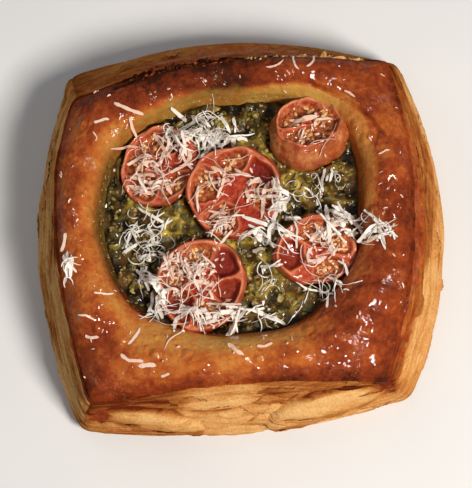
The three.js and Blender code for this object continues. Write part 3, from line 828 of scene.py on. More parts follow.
# How much darker the skin is at its outer edge, and what share of the rim that reaches.
EDGE_BAKE = [
    (0, 0.12), (90, 0.12), (140, 0.08), (180, 0.18), (225, 0.15), (250, 0.42), (290, 0.42),
    (330, 0.1),
]
EDGE_BAKE_REACH = 0.2
# Where the edge of the skin is burnt, and where and how far in it is less glossy.
BURNT_EDGE = [(70, 0.0), (88, 0.25), (98, 0.5), (122, 0.42), (130, 0.06), (138, 0.0), (360, 0.0)]
DULL_EDGE = [(0, 0.2), (60, 0.35), (90, 0.5), (135, 0.45), (170, 0.3), (270, 0.2)]
# The pale lip: share of the rim where it starts, and how dark it is.
LIP = [
    (0, 0.66, 0.22), (25, 0.64, 0.1), (50, 0.68, -0.08), (75, 0.76, -0.12), (98, 0.85, -0.02),
    (118, 0.71, -0.02), (138, 0.6, 0.06), (160, 0.54, 0.2), (180, 0.45, 0.28),
    (205, 0.5, 0.24), (225, 0.52, 0.16), (250, 0.48, 0.0), (270, 0.44, -0.04),
    (290, 0.52, 0.08), (315, 0.68, 0.4), (340, 0.70, 0.34),
]
LIP_FADE = [(0, 0.25), (20, 0.12), (70, 0.12), (100, 0.3), (270, 0.3)]
# How much the lip darkens again where it meets the filling.
INNER_BAKE = [
    (0, 0.2), (60, 0.0), (120, 0.0), (160, 0.3), (185, 0.5), (210, 0.25), (240, 0.0),
    (290, 0.1), (330, 0.3),
]
# How much darker the wall of the recess is: more baked, and painted shade under the overhanging
# lip.
WALL_BAKE_AND_SHADE = [
    (0, 0.1), (60, 0.0), (140, 0.1), (165, 0.5), (205, 0.55), (240, 0.3), (262, 0.05),
    (330, 0.05),
]
# Where pesto oil stained the lip.
OIL = [
    (0, 0.1), (40, 0.2), (70, 0.6), (100, 0.85), (130, 0.75), (160, 0.55), (190, 0.5),
    (220, 0.1), (250, 0.0), (340, 0.0),
]
# Darker or paler places on the rim: x, y, reach, amount.
BAKE_SPOTS = [
    (4, -35, 9, -0.1), (-20, -36, 9, -0.12), (40, -31, 6, 0.04), (31, -22, 8, 0.12),
    (-31, 33, 4, 0.15), (0, 38, 2.2, 0.4), (-24, 42, 8, 0.1), (30, -40, 9, 0.04),
    (-6, 44, 5, 0.15), (-41, 31, 5, 0.12), (43, 20, 7, -0.14), (-44, 12, 6, 0.12),
]
# Creases in the skin: points along them, depth and half width.
CREASES = [
    ([(20.5, 38.5), (29.5, 34.0), (36.5, 28.5), (40.5, 23.0)], 0.7, 0.45),
    ([(31.5, -18.5), (38.0, -17.5), (43.5, -19.5)], 0.55, 0.5),
    ([(36.5, -25.0), (44.0, -28.0)], 0.45, 0.6),
    ([(-33.5, 38.0), (-20.0, 43.0), (-8.0, 45.6)], 0.9, 0.7),
    ([(28.0, -27.5), (33.0, -32.0), (39.0, -33.5)], 0.4, 0.7),
    ([(-30.0, 28.0), (-35.5, 16.0), (-37.0, 4.0)], 0.35, 0.6),
]
# Blisters: how many, least and greatest radius, their height as a share of that, and the
# depth of the moat around them as a share of the height. The puckered place follows.
BLISTERS = 240
BLISTER_RADIUS = (0.3, 0.55)
BLISTER_HEIGHT = 0.55
BLISTER_MOAT = 0.35
PUCKER_PLACE = (36.0, -32.0)
PUCKER_REACH = 15
PUCKER_DEPTH = 0.4


def skin_around(turns):
    """Points (N, 2) along the edge of the skin, and the angle of each from the recess."""
    skin = soft_outline(SKIN_OUTLINE, turns)
    return skin, angle_from_recess(*skin.T)


def varied_size(random, low, high, large_share, larger):
    """A random size; a share of them are `larger` times as large."""
    return random.uniform(low, high) * (larger if random.random() < large_share else 1.0)


def distance_to_line(x, y, line):
    nearest = np.full(np.shape(x), np.inf)
    for (x0, y0), (x1, y1) in zip(line, line[1:]):
        run = np.array([x1 - x0, y1 - y0])
        share = np.clip(((x - x0) * run[0] + (y - y0) * run[1]) / (run @ run), 0, 1)
        apart = np.hypot(x - x0 - share * run[0], y - y0 - share * run[1])
        nearest = np.minimum(nearest, apart)
    return nearest


def skin_relief(x, y, share):
    """Fine relief of the glazed skin, in mm of height."""
    points = spots(x, y)
    relief = 0.5 * rough_noise(points, 9, 31) + 0.12 * rough_noise(points, 2.4, 35)
    pucker = bell(np.hypot(x - PUCKER_PLACE[0], y - PUCKER_PLACE[1]), 0, PUCKER_REACH)
    relief = relief + PUCKER_DEPTH * pucker * (1 - 2 * np.abs(cell_noise(points, 4.2, 39)))
    for line, depth, half_width in CREASES:
        relief = relief - depth * bell(distance_to_line(x, y, line), 0, half_width)
    random = np.random.default_rng(7)
    rows, columns = x.shape
    for _ in range(BLISTERS):
        column = random.integers(0, columns)
        row = random.integers(int(0.05 * rows), int(0.95 * rows))
        radius = varied_size(random, *BLISTER_RADIUS, 0.1, 2.2)
        near = np.hypot(x - x[row, column], y - y[row, column])
        moat = bell(near, 1.7 * radius, 0.5 * radius)
        dome = bell(near, 0, radius) - BLISTER_MOAT * moat
        relief = relief + BLISTER_HEIGHT * radius * dome
    return relief * smooth_step(0.0, 0.08, share) * smooth_step(1.05, 0.9, share)


def crust_bake(x, y, share):
    """How dark the skin is, from pale yellow (-0.25) to burnt (1), and its oil stains: baked,
    with painted shade in the creases.
    """
    points = spots(x, y)
    bearing = np.degrees(angle_from_recess(x, y))
    patches = rough_noise(points, 9, 51)
    lip_from = by_bearing(bearing, LIP) + 0.06 * rough_noise(points, 8, 57)
    lip = smooth_step(lip_from, lip_from + by_bearing(bearing, LIP_FADE), share)
    bake = by_bearing(bearing, BAKE_AROUND) + 0.14 * patches
    bake = bake + by_bearing(bearing, EDGE_BAKE) * bell(share, 0.0, EDGE_BAKE_REACH)
    burnt = bell(share + 0.04 * rough_noise(points, 3, 58), 0.0, 0.06)
    bake = bake + by_bearing(bearing, BURNT_EDGE) * burnt
    bake = bake + (by_bearing(bearing, LIP, 2) + 0.08 * patches - bake) * lip
    bake = bake + by_bearing(bearing, INNER_BAKE) * smooth_step(0.86, 1.0, share)
    for spot_x, spot_y, reach, amount in BAKE_SPOTS:
        bake = bake + amount * bell(np.hypot(x - spot_x, y - spot_y), 0, reach)
    # Darker along the creases: baked brown, and painted shade in them.
    for line, depth, half_width in CREASES:
        bake = bake + 0.3 * depth * bell(distance_to_line(x, y, line), 0, 1.4 * half_width)
    spread = share + 0.09 * rough_noise(points, 3, 60)
    return np.clip(bake, -0.25, 0.95), by_bearing(bearing, OIL) * smooth_step(0.8, 0.98, spread)


def skin_edge(skin, angle):
    """Rings of the tattered edge of the skin, from its underside upwards."""
    burnt = by_bearing(np.degrees(angle), BURNT_EDGE)
    walk = spots(*skin.T)
    tatter = SKIN_OVERHANG * (1 + (0.5 + burnt) * rough_noise(walk, 4.0, 21))
    lift = 0.3 * cell_noise(walk, 7.0, 24) + (0.15 + burnt) * cell_noise(walk, 2.0, 25)
    edge = EDGE_HEIGHT - droop(*skin.T)
    return np.array([
        pushed_out(spots(*skin.T, edge + up + lift * max(0, out)), angle, tatter * out)
        for out, up in SKIN_EDGE
    ])


def crust_rim(skin, angle):
    """Rings of the glazed rim from the skin's edge to the lip, and the share of each."""
    share = np.arange(RIM_ROWS + 1)[:, None] / RIM_ROWS + 0 * angle
    place = skin + (recess_points(angle, 0) - skin) * share[..., None]
    x, y = place[..., 0], place[..., 1]
    return spots(x, y, rim_height(x, y, share) + skin_relief(x, y, share)), share


def recess_wall(angle):
    heights = [*np.linspace(LIP_HEIGHT, 24, WALL_ROWS)[1:], RECESS_FLOOR]
    return np.array([spots(*recess_points(angle, wall_inset(z)).T, z) for z in heights])


def make_crust_skin(material):
    """The glazed skin: its edge, the rim and the wall of the recess."""
    skin, angle = skin_around(ALL_AROUND)
    bearing = np.degrees(angle)
    edge, (rim, share) = skin_edge(skin, angle), crust_rim(skin, angle)
    bake, oil = crust_bake(rim[..., 0], rim[..., 1], share)
    edge_glaze = np.linspace(0.1, 0.5, len(edge))[:, None]
    glaze = 0.38 + 0.62 * smooth_step(0, by_bearing(bearing, DULL_EDGE), share)
    ends = [(*RECESS_CENTRE, RECESS_FLOOR - 1), (*RECESS_CENTRE, RECESS_FLOOR)]
    return make_ring_piece(
        "crust_skin", "dough_shell", "dough_shell",
        [edge, rim, recess_wall(angle)], ends, material,
        layer=[0.5, 0.5, 0.5],
        # The wall is darker: more baked, and painted shade under the lip.
        bake=[bake[:1] + 0.05, bake, bake[-1:] + by_bearing(bearing, WALL_BAKE_AND_SHADE)],
        glaze=[edge_glaze, glaze, 0.6],
        oil=[0, oil, oil[-1:]],
    )


# ---------------------------------------------------------------- crust: crumbs and flakes

# Crumbs of pastry along the edge of the skin: bearings from and to, how many, how far in
# and out they lie, how baked (below 0 they are pale and come off the layers).
EDGE_CRUMBS = [(88, 128, 280, 1.5, 1.25), (90, 126, 40, 2.6, 0.75), (50, 84, 130, 0.8, -0.2)]
FLAKES = 64
FLAKE_SHARES = (0.5, 0.2, 0.08, 0.22)
FLAKE_THICKNESS = 0.18
# Mean length of a side.
SIDE_LENGTH = 95.0
# Roughness, half axes and tilt of the crumbs, and their least and greatest size.
CRUMB_ROUGHNESS = 0.7
CRUMB_AXES = ((0.7, 0.6, 0.3), (2.3, 1.2, 0.6))
CRUMB_TILT = 0.6
CRUMB_SIZE = (0.15, 0.42)
BALL_ROWS = 5
BALL_COLUMNS = 8


def ball():
    """Points and faces of a coarse ball of radius 1."""
    points = [(0, 0, 1)]
    for row in range(1, BALL_ROWS):
        slope = math.pi * row / BALL_ROWS
        for column in range(BALL_COLUMNS):
            angle = TURN * (column + 0.5 * (row % 2)) / BALL_COLUMNS
            x, y = math.sin(slope) * math.cos(angle), math.sin(slope) * math.sin(angle)
            points.append((x, y, math.cos(slope)))
    points.append((0, 0, -1))
    faces = []
    last = len(points) - 1
    for column in range(BALL_COLUMNS):
        following = (column + 1) % BALL_COLUMNS
        faces.append((0, 1 + column, 1 + following))
        for low in range(1, last - BALL_COLUMNS, BALL_COLUMNS):
            high = low + BALL_COLUMNS
            faces.append((low + column, high + column, high + following, low + following))
        faces.append((last - BALL_COLUMNS + column, last, last - BALL_COLUMNS + following))
    return np.array(points, float), faces


BALL, BALL_FACES = ball()


def random_rotation(random, most_tilt):
    turn = Matrix.Rotation(random.uniform(0, TURN), 3, "Z")
    tilt = Matrix.Rotation(random.uniform(-most_tilt, most_tilt), 3, "X")
    return np.array(tilt @ turn)


def hewn_bit(random, roughness, size, least, most, most_tilt):
    """Points of a rough-hewn bit, whose half axes are between two shares of its size."""
    dents = cell_noise(BALL * 3 + random.uniform(0, 90, 3), 1.3, 5)[:, None]
    hewn = BALL * (1 + roughness * dents)
    return (hewn * size * random.uniform(least, most)) @ random_rotation(random, most_tilt).T


def slab(outer, inner):
    """Points and faces of a closed sheet between two equal grids of points (U, V, 3)."""
    rows, columns, _ = outer.shape
    index = np.arange(rows * columns).reshape(rows, columns)
    quads = np.stack([index[:-1, :-1], index[1:, :-1], index[1:, 1:], index[:-1, 1:]], axis=-1)
    quads = quads.reshape(-1, 4)
    border = [index[0, :-1], index[:-1, -1], index[-1, :0:-1], index[:0:-1, 0]]
    border = np.concatenate(border)
    following = np.roll(border, -1)
    shift = rows * columns
    walls = np.stack([border, following, following + shift, border + shift], axis=-1)
    faces = [*quads.tolist(), *(quads[:, ::-1] + shift).tolist(), *walls.tolist()]
    return np.concatenate([outer.reshape(-1, 3), inner.reshape(-1, 3)]), faces


def make_crumbs(material):
    """Crumbs of pastry on the tattered edge of the skin."""
    random = np.random.default_rng(23)
    skin, angles = skin_around(ALL_AROUND)
    bearings = np.degrees(angles) % 360
    shapes = []
    for start, end, count, spread, bake in EDGE_CRUMBS:
        near = np.flatnonzero((bearings > start) & (bearings < end))
        for _ in range(count):
            place = skin[random.choice(near)]
            angle = angle_from_recess(*place)
            inward = random.normal(0.2, 0.5) * spread
            x, y = place - inward * np.array([math.cos(angle), math.sin(angle)])
            reach = np.hypot(*(place - recess_points(angle, 0)))
            height = rim_height(x, y, max(0.0, inward) / reach) - max(0.0, -inward)
            size = varied_size(random, *CRUMB_SIZE, 0.12, 2.2)
            points = hewn_bit(random, CRUMB_ROUGHNESS, size, *CRUMB_AXES, CRUMB_TILT)
            looks = {"layer": 0.06, "bake": 0.0, "glaze": 0.0}
            if bake > 0:
                tint = np.clip(bake + random.normal(0, 0.2), 0.1, 1.4)
                looks = {"layer": 0.06, "bake": tint, "glaze": 0.4}
            points = points + (x, y, float(height) + 0.1 * size)
            shapes.append((points, BALL_FACES, looks))
    make_scatter("crust_crumbs", [], shapes, material, smooth=False)


def make_flakes(material):
    """Thin sheets of pastry that peel off the layered sides at one edge."""
    random = np.random.default_rng(41)
    across = np.linspace(-1, 1, 21)[:, None]
    rise = np.linspace(0, 1, 6)[None, :]
    shapes = []
    for _ in range(FLAKES):
        side = random.choice(4, p=FLAKE_SHARES)
        along, leaf = random.uniform(0.08, 0.92), random.uniform(0.9, LEAVES - 0.5)
        length, tall = random.uniform(5, 16), random.uniform(0.2, 0.55) * random.choice([-1, 1])
        ragged = 0.12 * np.sin(11 * across + leaf) + 0.1 * np.sin(23 * across + 3 * leaf)
        outline = (1 - across**2) * (1 + ragged)
        turn = side + along + across * length / (2 * SIDE_LENGTH)
        turn = np.clip(turn, side + 0.02, side + 0.98)
        base, layer, _ = side_points(turn, leaf + tall * rise * outline)
        angle = angle_from_recess(base[..., 0], base[..., 1])
        lift = random.uniform(0.15, 0.7) * rise**1.6 * (1 - across**2)
        outer = pushed_out(base, angle, lift + FLAKE_THICKNESS * (1 - across**4))
        inner = pushed_out(base, angle, lift - 0.1 * (1 - rise) - 0.05)
        tone = np.mean(layer) + random.uniform(-0.12, 0.12)
        shapes.append((*slab(outer, inner), {"layer": tone, "bake": 0.5, "glaze": 0.0}))
    make_scatter("crust_flakes", [], shapes, material)


# ---------------------------------------------------------------- pesto

PESTO_COLUMNS = 300
PESTO_ROWS = 96
PESTO_WALL_OVERLAP = 0.3
# The foot of the filling, as a share of its rim.
PESTO_FOOT = 0.9
# Heights above the level at which the pesto's colour is darkest and palest: painted shade
# in its low places and painted light on its high lumps.
PESTO_DARK = 0.8
PESTO_PALE = 2.4
# How far the pesto swells around a tomato half, and reaches up into its underside.
PESTO_SWELL = 0.5
PESTO_SINK = 0.4
PESTO_CLUMPS = 0.9
PESTO_BITS = 1000
BIT_ROUGHNESS = 0.55
BIT_TILT = 0.8
BIT_SIZE = (0.25, 0.75)
WALL_BIT_SIZE = (0.18, 0.45)
WALL_BIT_KINDS = [0.78, 0.9, 1.0]
# How far down the wall such bits are spread.
WALL_BIT_FALL = 2.2
# Half axes of a flat and of a lumpy bit, least and most, as shares of its size.
FLAT_BIT = ((0.8, 0.5, 0.12), (1.6, 1.0, 0.25))
LUMPY_BIT = ((0.7, 0.5, 0.4), (1.2, 0.9, 0.7))
# Kinds of bit, from dark leaf to nut, and how many of them there are in all.
BIT_KINDS = [0.1, 0.35, 0.6, 0.82, 1.0]
BIT_SHARES = [0.24, 0.3, 0.24, 0.12, 0.1]
# Crumbs of pesto that stick to the wall of the recess: bearings from and to, how many.
WALL_BITS = [(62, 140, 150), (140, 235, 80)]


def footprint(tomato, x, y):
    """Distance from a tomato's middle in shares of its radii, seen from above."""
    angle = math.radians(tomato.spin)
    dx, dy = x - tomato.at[0], y - tomato.at[1]
    along = dx * math.cos(angle) + dy * math.sin(angle)
    across = dy * math.cos(angle) - dx * math.sin(angle)
    return np.hypot(along / tomato.radii[0], across / tomato.radii[1])


def pesto_height(x, y):
    """Height of the pesto, which is lumpy and swells around the tomato halves."""
    reach = np.hypot(x - RECESS_CENTRE[0], y - RECESS_CENTRE[1])
    reach = reach / recess_radius(angle_from_recess(x, y))
    lumps = 0.6 * unevenness(x, y, 6.5, 7) + 0.4 * unevenness(x, y, 3.4, 11)
    lumps = PESTO_LUMP * lumps * np.clip(6 * (1 - reach), 0.2, 1)
    height = PESTO_LEVEL + PESTO_MOUND * (1 - reach**3) + lumps
    points = spots(x, y)
    clumps = 0.5 - np.abs(cell_noise(points, 4.4, 61)) * 1.6 + 0.5 * rough_noise(points, 2.0, 67)
    height = height + PESTO_CLUMPS * clumps
    for tomato in TOMATOES:
        share = footprint(tomato, x, y)
        height = height + PESTO_SWELL * bell(share, 1.06, 0.07)
        sunk = tomato.depth * np.sqrt(np.clip(1 - share**2, 0, 1))
        underside = tomato.at[2] - sunk + PESTO_SINK
        height = np.where(share < 1, np.minimum(height, underside), height)
    return height


def make_pesto(material):
    angle = (np.arange(PESTO_COLUMNS) * TURN / PESTO_COLUMNS)[None, :]
    share = (1 - np.arange(PESTO_ROWS) / PESTO_ROWS)[:, None]
    inset = wall_inset(PESTO_LEVEL) - PESTO_WALL_OVERLAP
    radius = (recess_radius(angle) - inset) * share
    x, y = around_recess(angle, radius)
    height = pesto_height(x, y)
    low = spots(*around_recess(angle, PESTO_FOOT * radius[:1]), RECESS_FLOOR + 1)
    ends = [(*RECESS_CENTRE, RECESS_FLOOR + 1), (*RECESS_CENTRE, np.mean(height[-1]))]
    return make_ring_piece(
        "pesto", "pesto_filling", "pesto_filling", [low, spots(x, y, height)], ends, material,
        # The height look paints shade in the low places and light on the high lumps.
        height=[0, (height - PESTO_LEVEL - PESTO_DARK) / (PESTO_PALE - PESTO_DARK)],
    )


def make_pesto_bits(material):
    """Chopped leaf, nut and cheese bits that stand out of the pesto."""
    random = np.random.default_rng(17)
    shapes = []

    def add(x, y, height, size, axes, kind):
        points = hewn_bit(random, BIT_ROUGHNESS, size, *axes, BIT_TILT)
        points = points + (x, y, height + 0.1 * size)
        shapes.append((points, BALL_FACES, {"kind": kind + random.uniform(-0.08, 0.08)}))

    while len(shapes) < PESTO_BITS:
        angle = random.uniform(0, TURN)
        x, y = around_recess(angle, (recess_radius(angle) - 2.0) * math.sqrt(random.random()))
        if min(footprint(tomato, x, y) for tomato in TOMATOES) < 0.97:
            continue
        kind = random.choice(BIT_KINDS, p=BIT_SHARES)
        size = varied_size(random, *BIT_SIZE, 0.12, 1.9)
        add(x, y, float(pesto_height(x, y)), size, FLAT_BIT if kind < 0.5 else LUMPY_BIT, kind)
    for start, end, count in WALL_BITS:
        for _ in range(count):
            angle = math.radians(random.uniform(start, end))
            height = LIP_HEIGHT - 0.3 - abs(random.normal(0, WALL_BIT_FALL))
            x, y = recess_points(angle, wall_inset(height) - random.uniform(0, 0.3))
            size = random.uniform(*WALL_BIT_SIZE)
            add(x, y, height, size, LUMPY_BIT, random.choice(WALL_BIT_KINDS))
    make_scatter("pesto_bits", ["pesto_filling"], shapes, material, smooth=False)


# ---------------------------------------------------------------- tomato halves

TOMATO_COLUMNS = 180
TOMATO_SKIN_ROWS = 26
TOMATO_CUT_ROWS = 60
CHAMBER_WALL = 1.5
CHAMBER_ROUNDING = 0.8
CHAMBER_WARP = 0.16
CHAMBER_DEPTH = 2.2
RIM_WRINKLE = 0.45
SEEDS_PER_CHAMBER = 9


def tomato_placed(tomato, points):
    """Points about a tomato's middle, with its cut face up, moved to where it lies."""
    bearing = math.radians(tomato.towards)
    axis = Vector((-math.sin(bearing), math.cos(bearing), 0))
    tip = Matrix.Rotation(math.radians(tomato.lean), 3, axis)
    turn = Matrix.Rotation(math.radians(tomato.spin), 3, "Z")
    return points @ np.array(tip @ turn).T + np.array(tomato.at)


def chamber_fields(share, angle, tomato):
    """How deep in a seed chamber a place on the cut face lies, its gel, and its membranes."""
    points = spots(share * np.cos(angle), share * np.sin(angle), 5.0 * tomato.seed)
    angle = angle + CHAMBER_WARP * rough_noise(points, 0.45, 75)
    share = np.clip(share + 0.3 * CHAMBER_WARP * rough_noise(points + 9, 0.35, 77), 0, 2)
    deep, gel, membrane = 0 * share, 0 * share, 0 * share
    for bearing, half_width, inner, outer, fill in tomato.chambers:
        turned = angle + math.radians(tomato.spin - bearing)
        apart = np.abs((turned + math.pi) % TURN - math.pi)
        sideways = (math.radians(half_width) - apart) * np.maximum(share, 0.1)
        walls = np.array([sideways, share - inner, outer - share]) * tomato.girth
        rounded = np.log(np.sum(np.exp(-walls / CHAMBER_ROUNDING), axis=0))
        inside = 0.4 - CHAMBER_ROUNDING * rounded
        here = smooth_step(0, CHAMBER_WALL, inside)
        deep = np.maximum(deep, here)
        gel = np.maximum(gel, here * fill)
        membrane = np.maximum(membrane, bell(inside, -0.1, 0.35))
    return deep, gel, membrane


def cut_relief(share, angle, tomato):
    """Height of the cut face: flesh with sunken chambers, which gel fills in part."""
    seed = tomato.seed
    deep, gel, membrane = chamber_fields(share, angle, tomato)
    wrinkle = RIM_WRINKLE * (np.sin(7 * angle + 2 * seed) + 0.5 * np.sin(13 * angle + seed))
    points = spots(12 * share * np.cos(angle), 12 * share * np.sin(angle), 9.0 * seed)
    filled = gel * (1.1 + 0.9 * rough_noise(points, 1.7, 71))
    flesh = 0.45 * rough_noise(points, 2.6, 73) + 0.35 * membrane
    edge = 0.35 * bell(share, 0.965, 0.02) - 0.6 * smooth_step(0.98, 1.0, share)
    sag = 0.6 * smooth_step(0.9, 0.3, share)
    return wrinkle * share**6 - CHAMBER_DEPTH * deep + filled + flesh + edge - sag


def make_tomato(tomato, material):
    """A tomato half: rings up its skin to the girth, and across the cut face to its middle."""
    seed, peel, girth = tomato.seed, tomato.peel, tomato.girth
    angle = (np.arange(TOMATO_COLUMNS) * TURN / TOMATO_COLUMNS)[None, :]
    lobed = 1 + sum(amount * np.sin(lobes * angle + seed) for lobes, amount in LOBES)

    def outlined(shares, heights):
        across, deep = (radius * shares * lobed for radius in tomato.radii)
        return spots(across * np.cos(angle), deep * np.sin(angle), heights)

    slope = np.linspace(math.pi / 2, -tomato.cut_angle, TOMATO_SKIN_ROWS + 1)[1:-1, None]
    height = -np.where(slope > 0, tomato.depth, girth) * np.sin(slope)
    skin = outlined(np.cos(slope), height)
    crinkle = (0.3 + 0.25 * peel) * rough_noise(skin * (1, 1, 0.35), 3.0, 81 + seed)
    crinkle = crinkle - 0.35 * peel * bell(height, tomato.rise - 2.6, 0.7)
    skin = skin * (1 + crinkle / girth)[..., None]

    share = np.linspace(1, 0.02, TOMATO_CUT_ROWS)[:, None] + 0 * angle
    height = tomato.rise + cut_relief(share, angle, tomato)
    cut = outlined(math.cos(tomato.cut_angle) * share, height)
    bands = [tomato_placed(tomato, skin), tomato_placed(tomato, cut)]
    char = [0.4 * smooth_step(0.35, 0.9, rough_noise(band, 5, 91)) for band in bands]
    deep, gel, membrane = chamber_fields(share, angle, tomato)
    pale = np.clip(0.65 * membrane + 0.55 * bell(share, 0.94, 0.035), 0, 1)
    middle = tomato.rise + cut_relief(0.0, 0.0, tomato)
    ends = tomato_placed(tomato, np.array([(0, 0, -tomato.depth), (0, 0, middle)]))
    return make_ring_piece(
        f"tomato_{tomato.name}", "tomato", f"tomato_half_{tomato.name}", bands, ends, material,
        gel=[0, gel],
        # Painted shade in the sunken chambers that gel does not fill.
        hollow=[0, 0.75 * deep * (1 - gel)],
        skin=[1, smooth_step(0.95, 0.985, share)],
        pale=[0, pale],
        peeled=[peel, peel],
        char=[0.7 * char[0], smooth_step(0.8, 1.0, share) * char[1]],
    )


def make_seeds(material):
    """Flat drop-shaped seeds that lie in the gel of the chambers."""
    random = np.random.default_rng(23)
    drop = BALL * (0.85, 0.5, 0.3)
    drop[:, 1] *= 1 - 0.35 * BALL[:, 0]
    shapes = []
    for tomato in TOMATOES:
        for bearing, half_width, inner, outer, fill in tomato.chambers:
            for _ in range(int(SEEDS_PER_CHAMBER * fill)):
                share = random.uniform(inner + 0.08, outer - 0.08)
                off = random.uniform(-0.75, 0.75) * half_width
                angle = math.radians(bearing - tomato.spin + off)
                facing = Matrix.Rotation(angle + random.normal(0, 0.5), 3, "Z")
                tilt = Matrix.Rotation(random.uniform(-0.6, 0.6), 3, "X")
                seed = drop @ np.array(facing @ tilt).T * random.uniform(0.8, 1.15)
                height = tomato.rise + float(cut_relief(share, angle, tomato)) + 0.1
                reach = math.cos(tomato.cut_angle) * share
                x = tomato.radii[0] * reach * math.cos(angle)
                y = tomato.radii[1] * reach * math.sin(angle)
                shapes.append((tomato_placed(tomato, seed + (x, y, height)), BALL_FACES, {}))
    make_scatter("tomato_seeds", [], shapes, material)


# ---------------------------------------------------------------- grated cheese

GRID_STEP = 0.25
GRID_HALF = 60.0
STEP_LENGTH = 0.5

# Single ribbons on the rim: x, y, bearing, length, width, curl.
RIM_RIBBONS = [
    (-29.5, 31.8, -22, 8.4, 0.9, 6), (-36.9, 28.6, 20, 4.0, 0.7, 10),
    (11.0, 43.0, 25, 5.4, 0.5, 70), (16.4, 43.6, 100, 4.6, 0.5, -80),
    (21.0, 44.2, 60, 4.4, 0.6, 60), (31.4, 35.0, -20, 3.4, 0.6, 0),
    (40.4, 18.1, 25, 3.2, 0.5, 20), (-46.6, -5.8, 70, 5.0, 0.8, 20),
    (-40.0, -26.5, -5, 4.4, 0.5, 10), (-38.6, -31.8, -25, 3.6, 0.8, 0),
    (-27.1, -31.5, 60, 5.4, 0.8, 30), (-27.8, -38.0, -30, 6.4, 0.9, 20),
    (-23.6, -39.6, 8, 4.4, 1.1, 0), (0.2, -35.7, -42, 5.0, 1.0, 0),
    (7.9, -34.5, 5, 4.2, 0.7, 15), (36.4, -5.6, 20, 6.0, 0.7, 90),
    (39.4, -2.8, 80, 5.0, 0.7, -90), (-18.8, -42.2, 15, 2.2, 0.7, 0),
    (-38.5, 24.0, 75, 3.0, 0.4, 20), (-35.5, -19.9, 10, 5.0, 0.5, 40),
]
# Drifts of shreds: x, y, half sizes, threads, ribbons, crumbs, how curly, how stained.
DRIFTS = [
    (-9.5, 24.5, 8.5, 3.0, 40, 26, 26, 0.9, 0.0), (-8.5, 29.5, 8.5, 2.4, 16, 8, 6, 0.9, 0.0),
    (-22.0, 15.5, 8.5, 8.5, 26, 24, 30, 0.6, 0.55), (-25.5, -4.0, 6.0, 7.0, 26, 9, 8, 1.9, 0.0),
    (-23.5, -15.0, 4.5, 5.5, 12, 6, 5, 1.5, 0.0), (-11.5, -14.0, 8.0, 8.0, 32, 13, 90, 0.9, 0.5),
    (-7.0, -25.0, 8.0, 3.2, 18, 11, 36, 0.8, 0.3), (13.0, 3.5, 3.2, 6.5, 30, 26, 20, 0.8, 0.0),
    (21.5, 9.5, 8.0, 4.5, 9, 5, 3, 2.2, 0.0), (-3.5, 2.0, 4.5, 3.5, 8, 8, 10, 0.6, 0.45),
    (7.0, 7.5, 4.0, 4.5, 6, 6, 8, 0.8, 0.5), (-4.0, 12.0, 7.5, 5.5, 14, 6, 16, 0.6, 0.6),
    (6.5, -4.5, 6.0, 2.2, 14, 9, 8, 0.8, 0.0), (23.5, -7.5, 6.5, 8.0, 18, 11, 20, 1.1, 0.45),
    (30.0, 0.0, 4.5, 3.5, 12, 9, 5, 0.9, 0.15), (38.0, -3.5, 4.0, 2.4, 9, 9, 6, 1.0, 0.0),
    (25.0, -18.5, 6.0, 4.0, 10, 4, 5, 1.6, 0.0), (8.5, -11.5, 3.5, 5.0, 10, 3, 4, 1.2, 0.0),
    (6.0, -25.5, 7.5, 2.2, 6, 6, 3, 0.6, 0.0), (-20.5, -24.0, 4.5, 3.5, 10, 4, 5, 1.2, 0.0),
    (22.5, 25.0, 4.5, 4.0, 3, 3, 12, 0.6, 0.5), (-45.5, -13.0, 1.4, 2.8, 5, 3, 5, 0.9, 0.2),
]
# Crumbs of cheese on the rim: how many, least and greatest length and width, and curl.
RIM_CRUMBS = 60
RIM_CRUMB_LENGTH = (0.4, 1.4)
RIM_CRUMB_WIDTH = (0.2, 0.45)
RIM_CRUMB_CURL = 0.4
RIM_STAIN = 0.5
# How densely a drift lies about its middle, as a share of its half sizes.
DRIFT_SPREAD = 0.55
# How far the colour of what carries them soaks into shreds, by the depth of the pile in mm.
SOAK_DEPTH = 0.9
PESTO_SOAK = 0.25
MOST_CURL = 4.5
MOST_FALL = 6.0
# How sharply shreds are bent at one place, in radians.
KINK = 0.35
# Share of the ribbons that are forked, and how far apart the prongs point, in radians.
FORKED = 0.35
FORK_SPREAD = 0.38
# How uneven the sides of a shred are, and how far its corners are torn, by its width.
SIDE_RAGGED = 0.18
END_TORN = 0.4
THREAD_FLATNESS = 0.4
RIBBON_THICKNESS = 0.1


class Shred(NamedTuple):
    """A kind of shred: how much its path wanders, how far its middle may stand up, how
    stiffly it bridges hollows, how far it rolls over and twists, its least length, the number
    and mean size of the steps added to it, its least and greatest width, and its curl.
    A crumb has a least and a greatest length."""

    wander: float
    arch: float
    stiffness: int
    roll: float
    twist: float
    length: tuple = ()
    width: tuple = ()
    curl: float = 0.0


THREAD = Shred(0.1, 0.8, 6, 0.3, 1.6, (3.0, 3.0, 1.3), (0.13, 0.32), 1.7)
RIBBON = Shred(0.045, 0.4, 12, 0.3, 0.9, (2.4, 2.4, 1.4), (0.45, 1.2), 0.4)
CRUMB = Shred(0.045, 0.4, 6, 0.3, 0.9, (0.5, 1.6), (0.3, 0.7), 0.5)
MELTED = Shred(0.045, 0.0, 6, 0.0, 0.0)


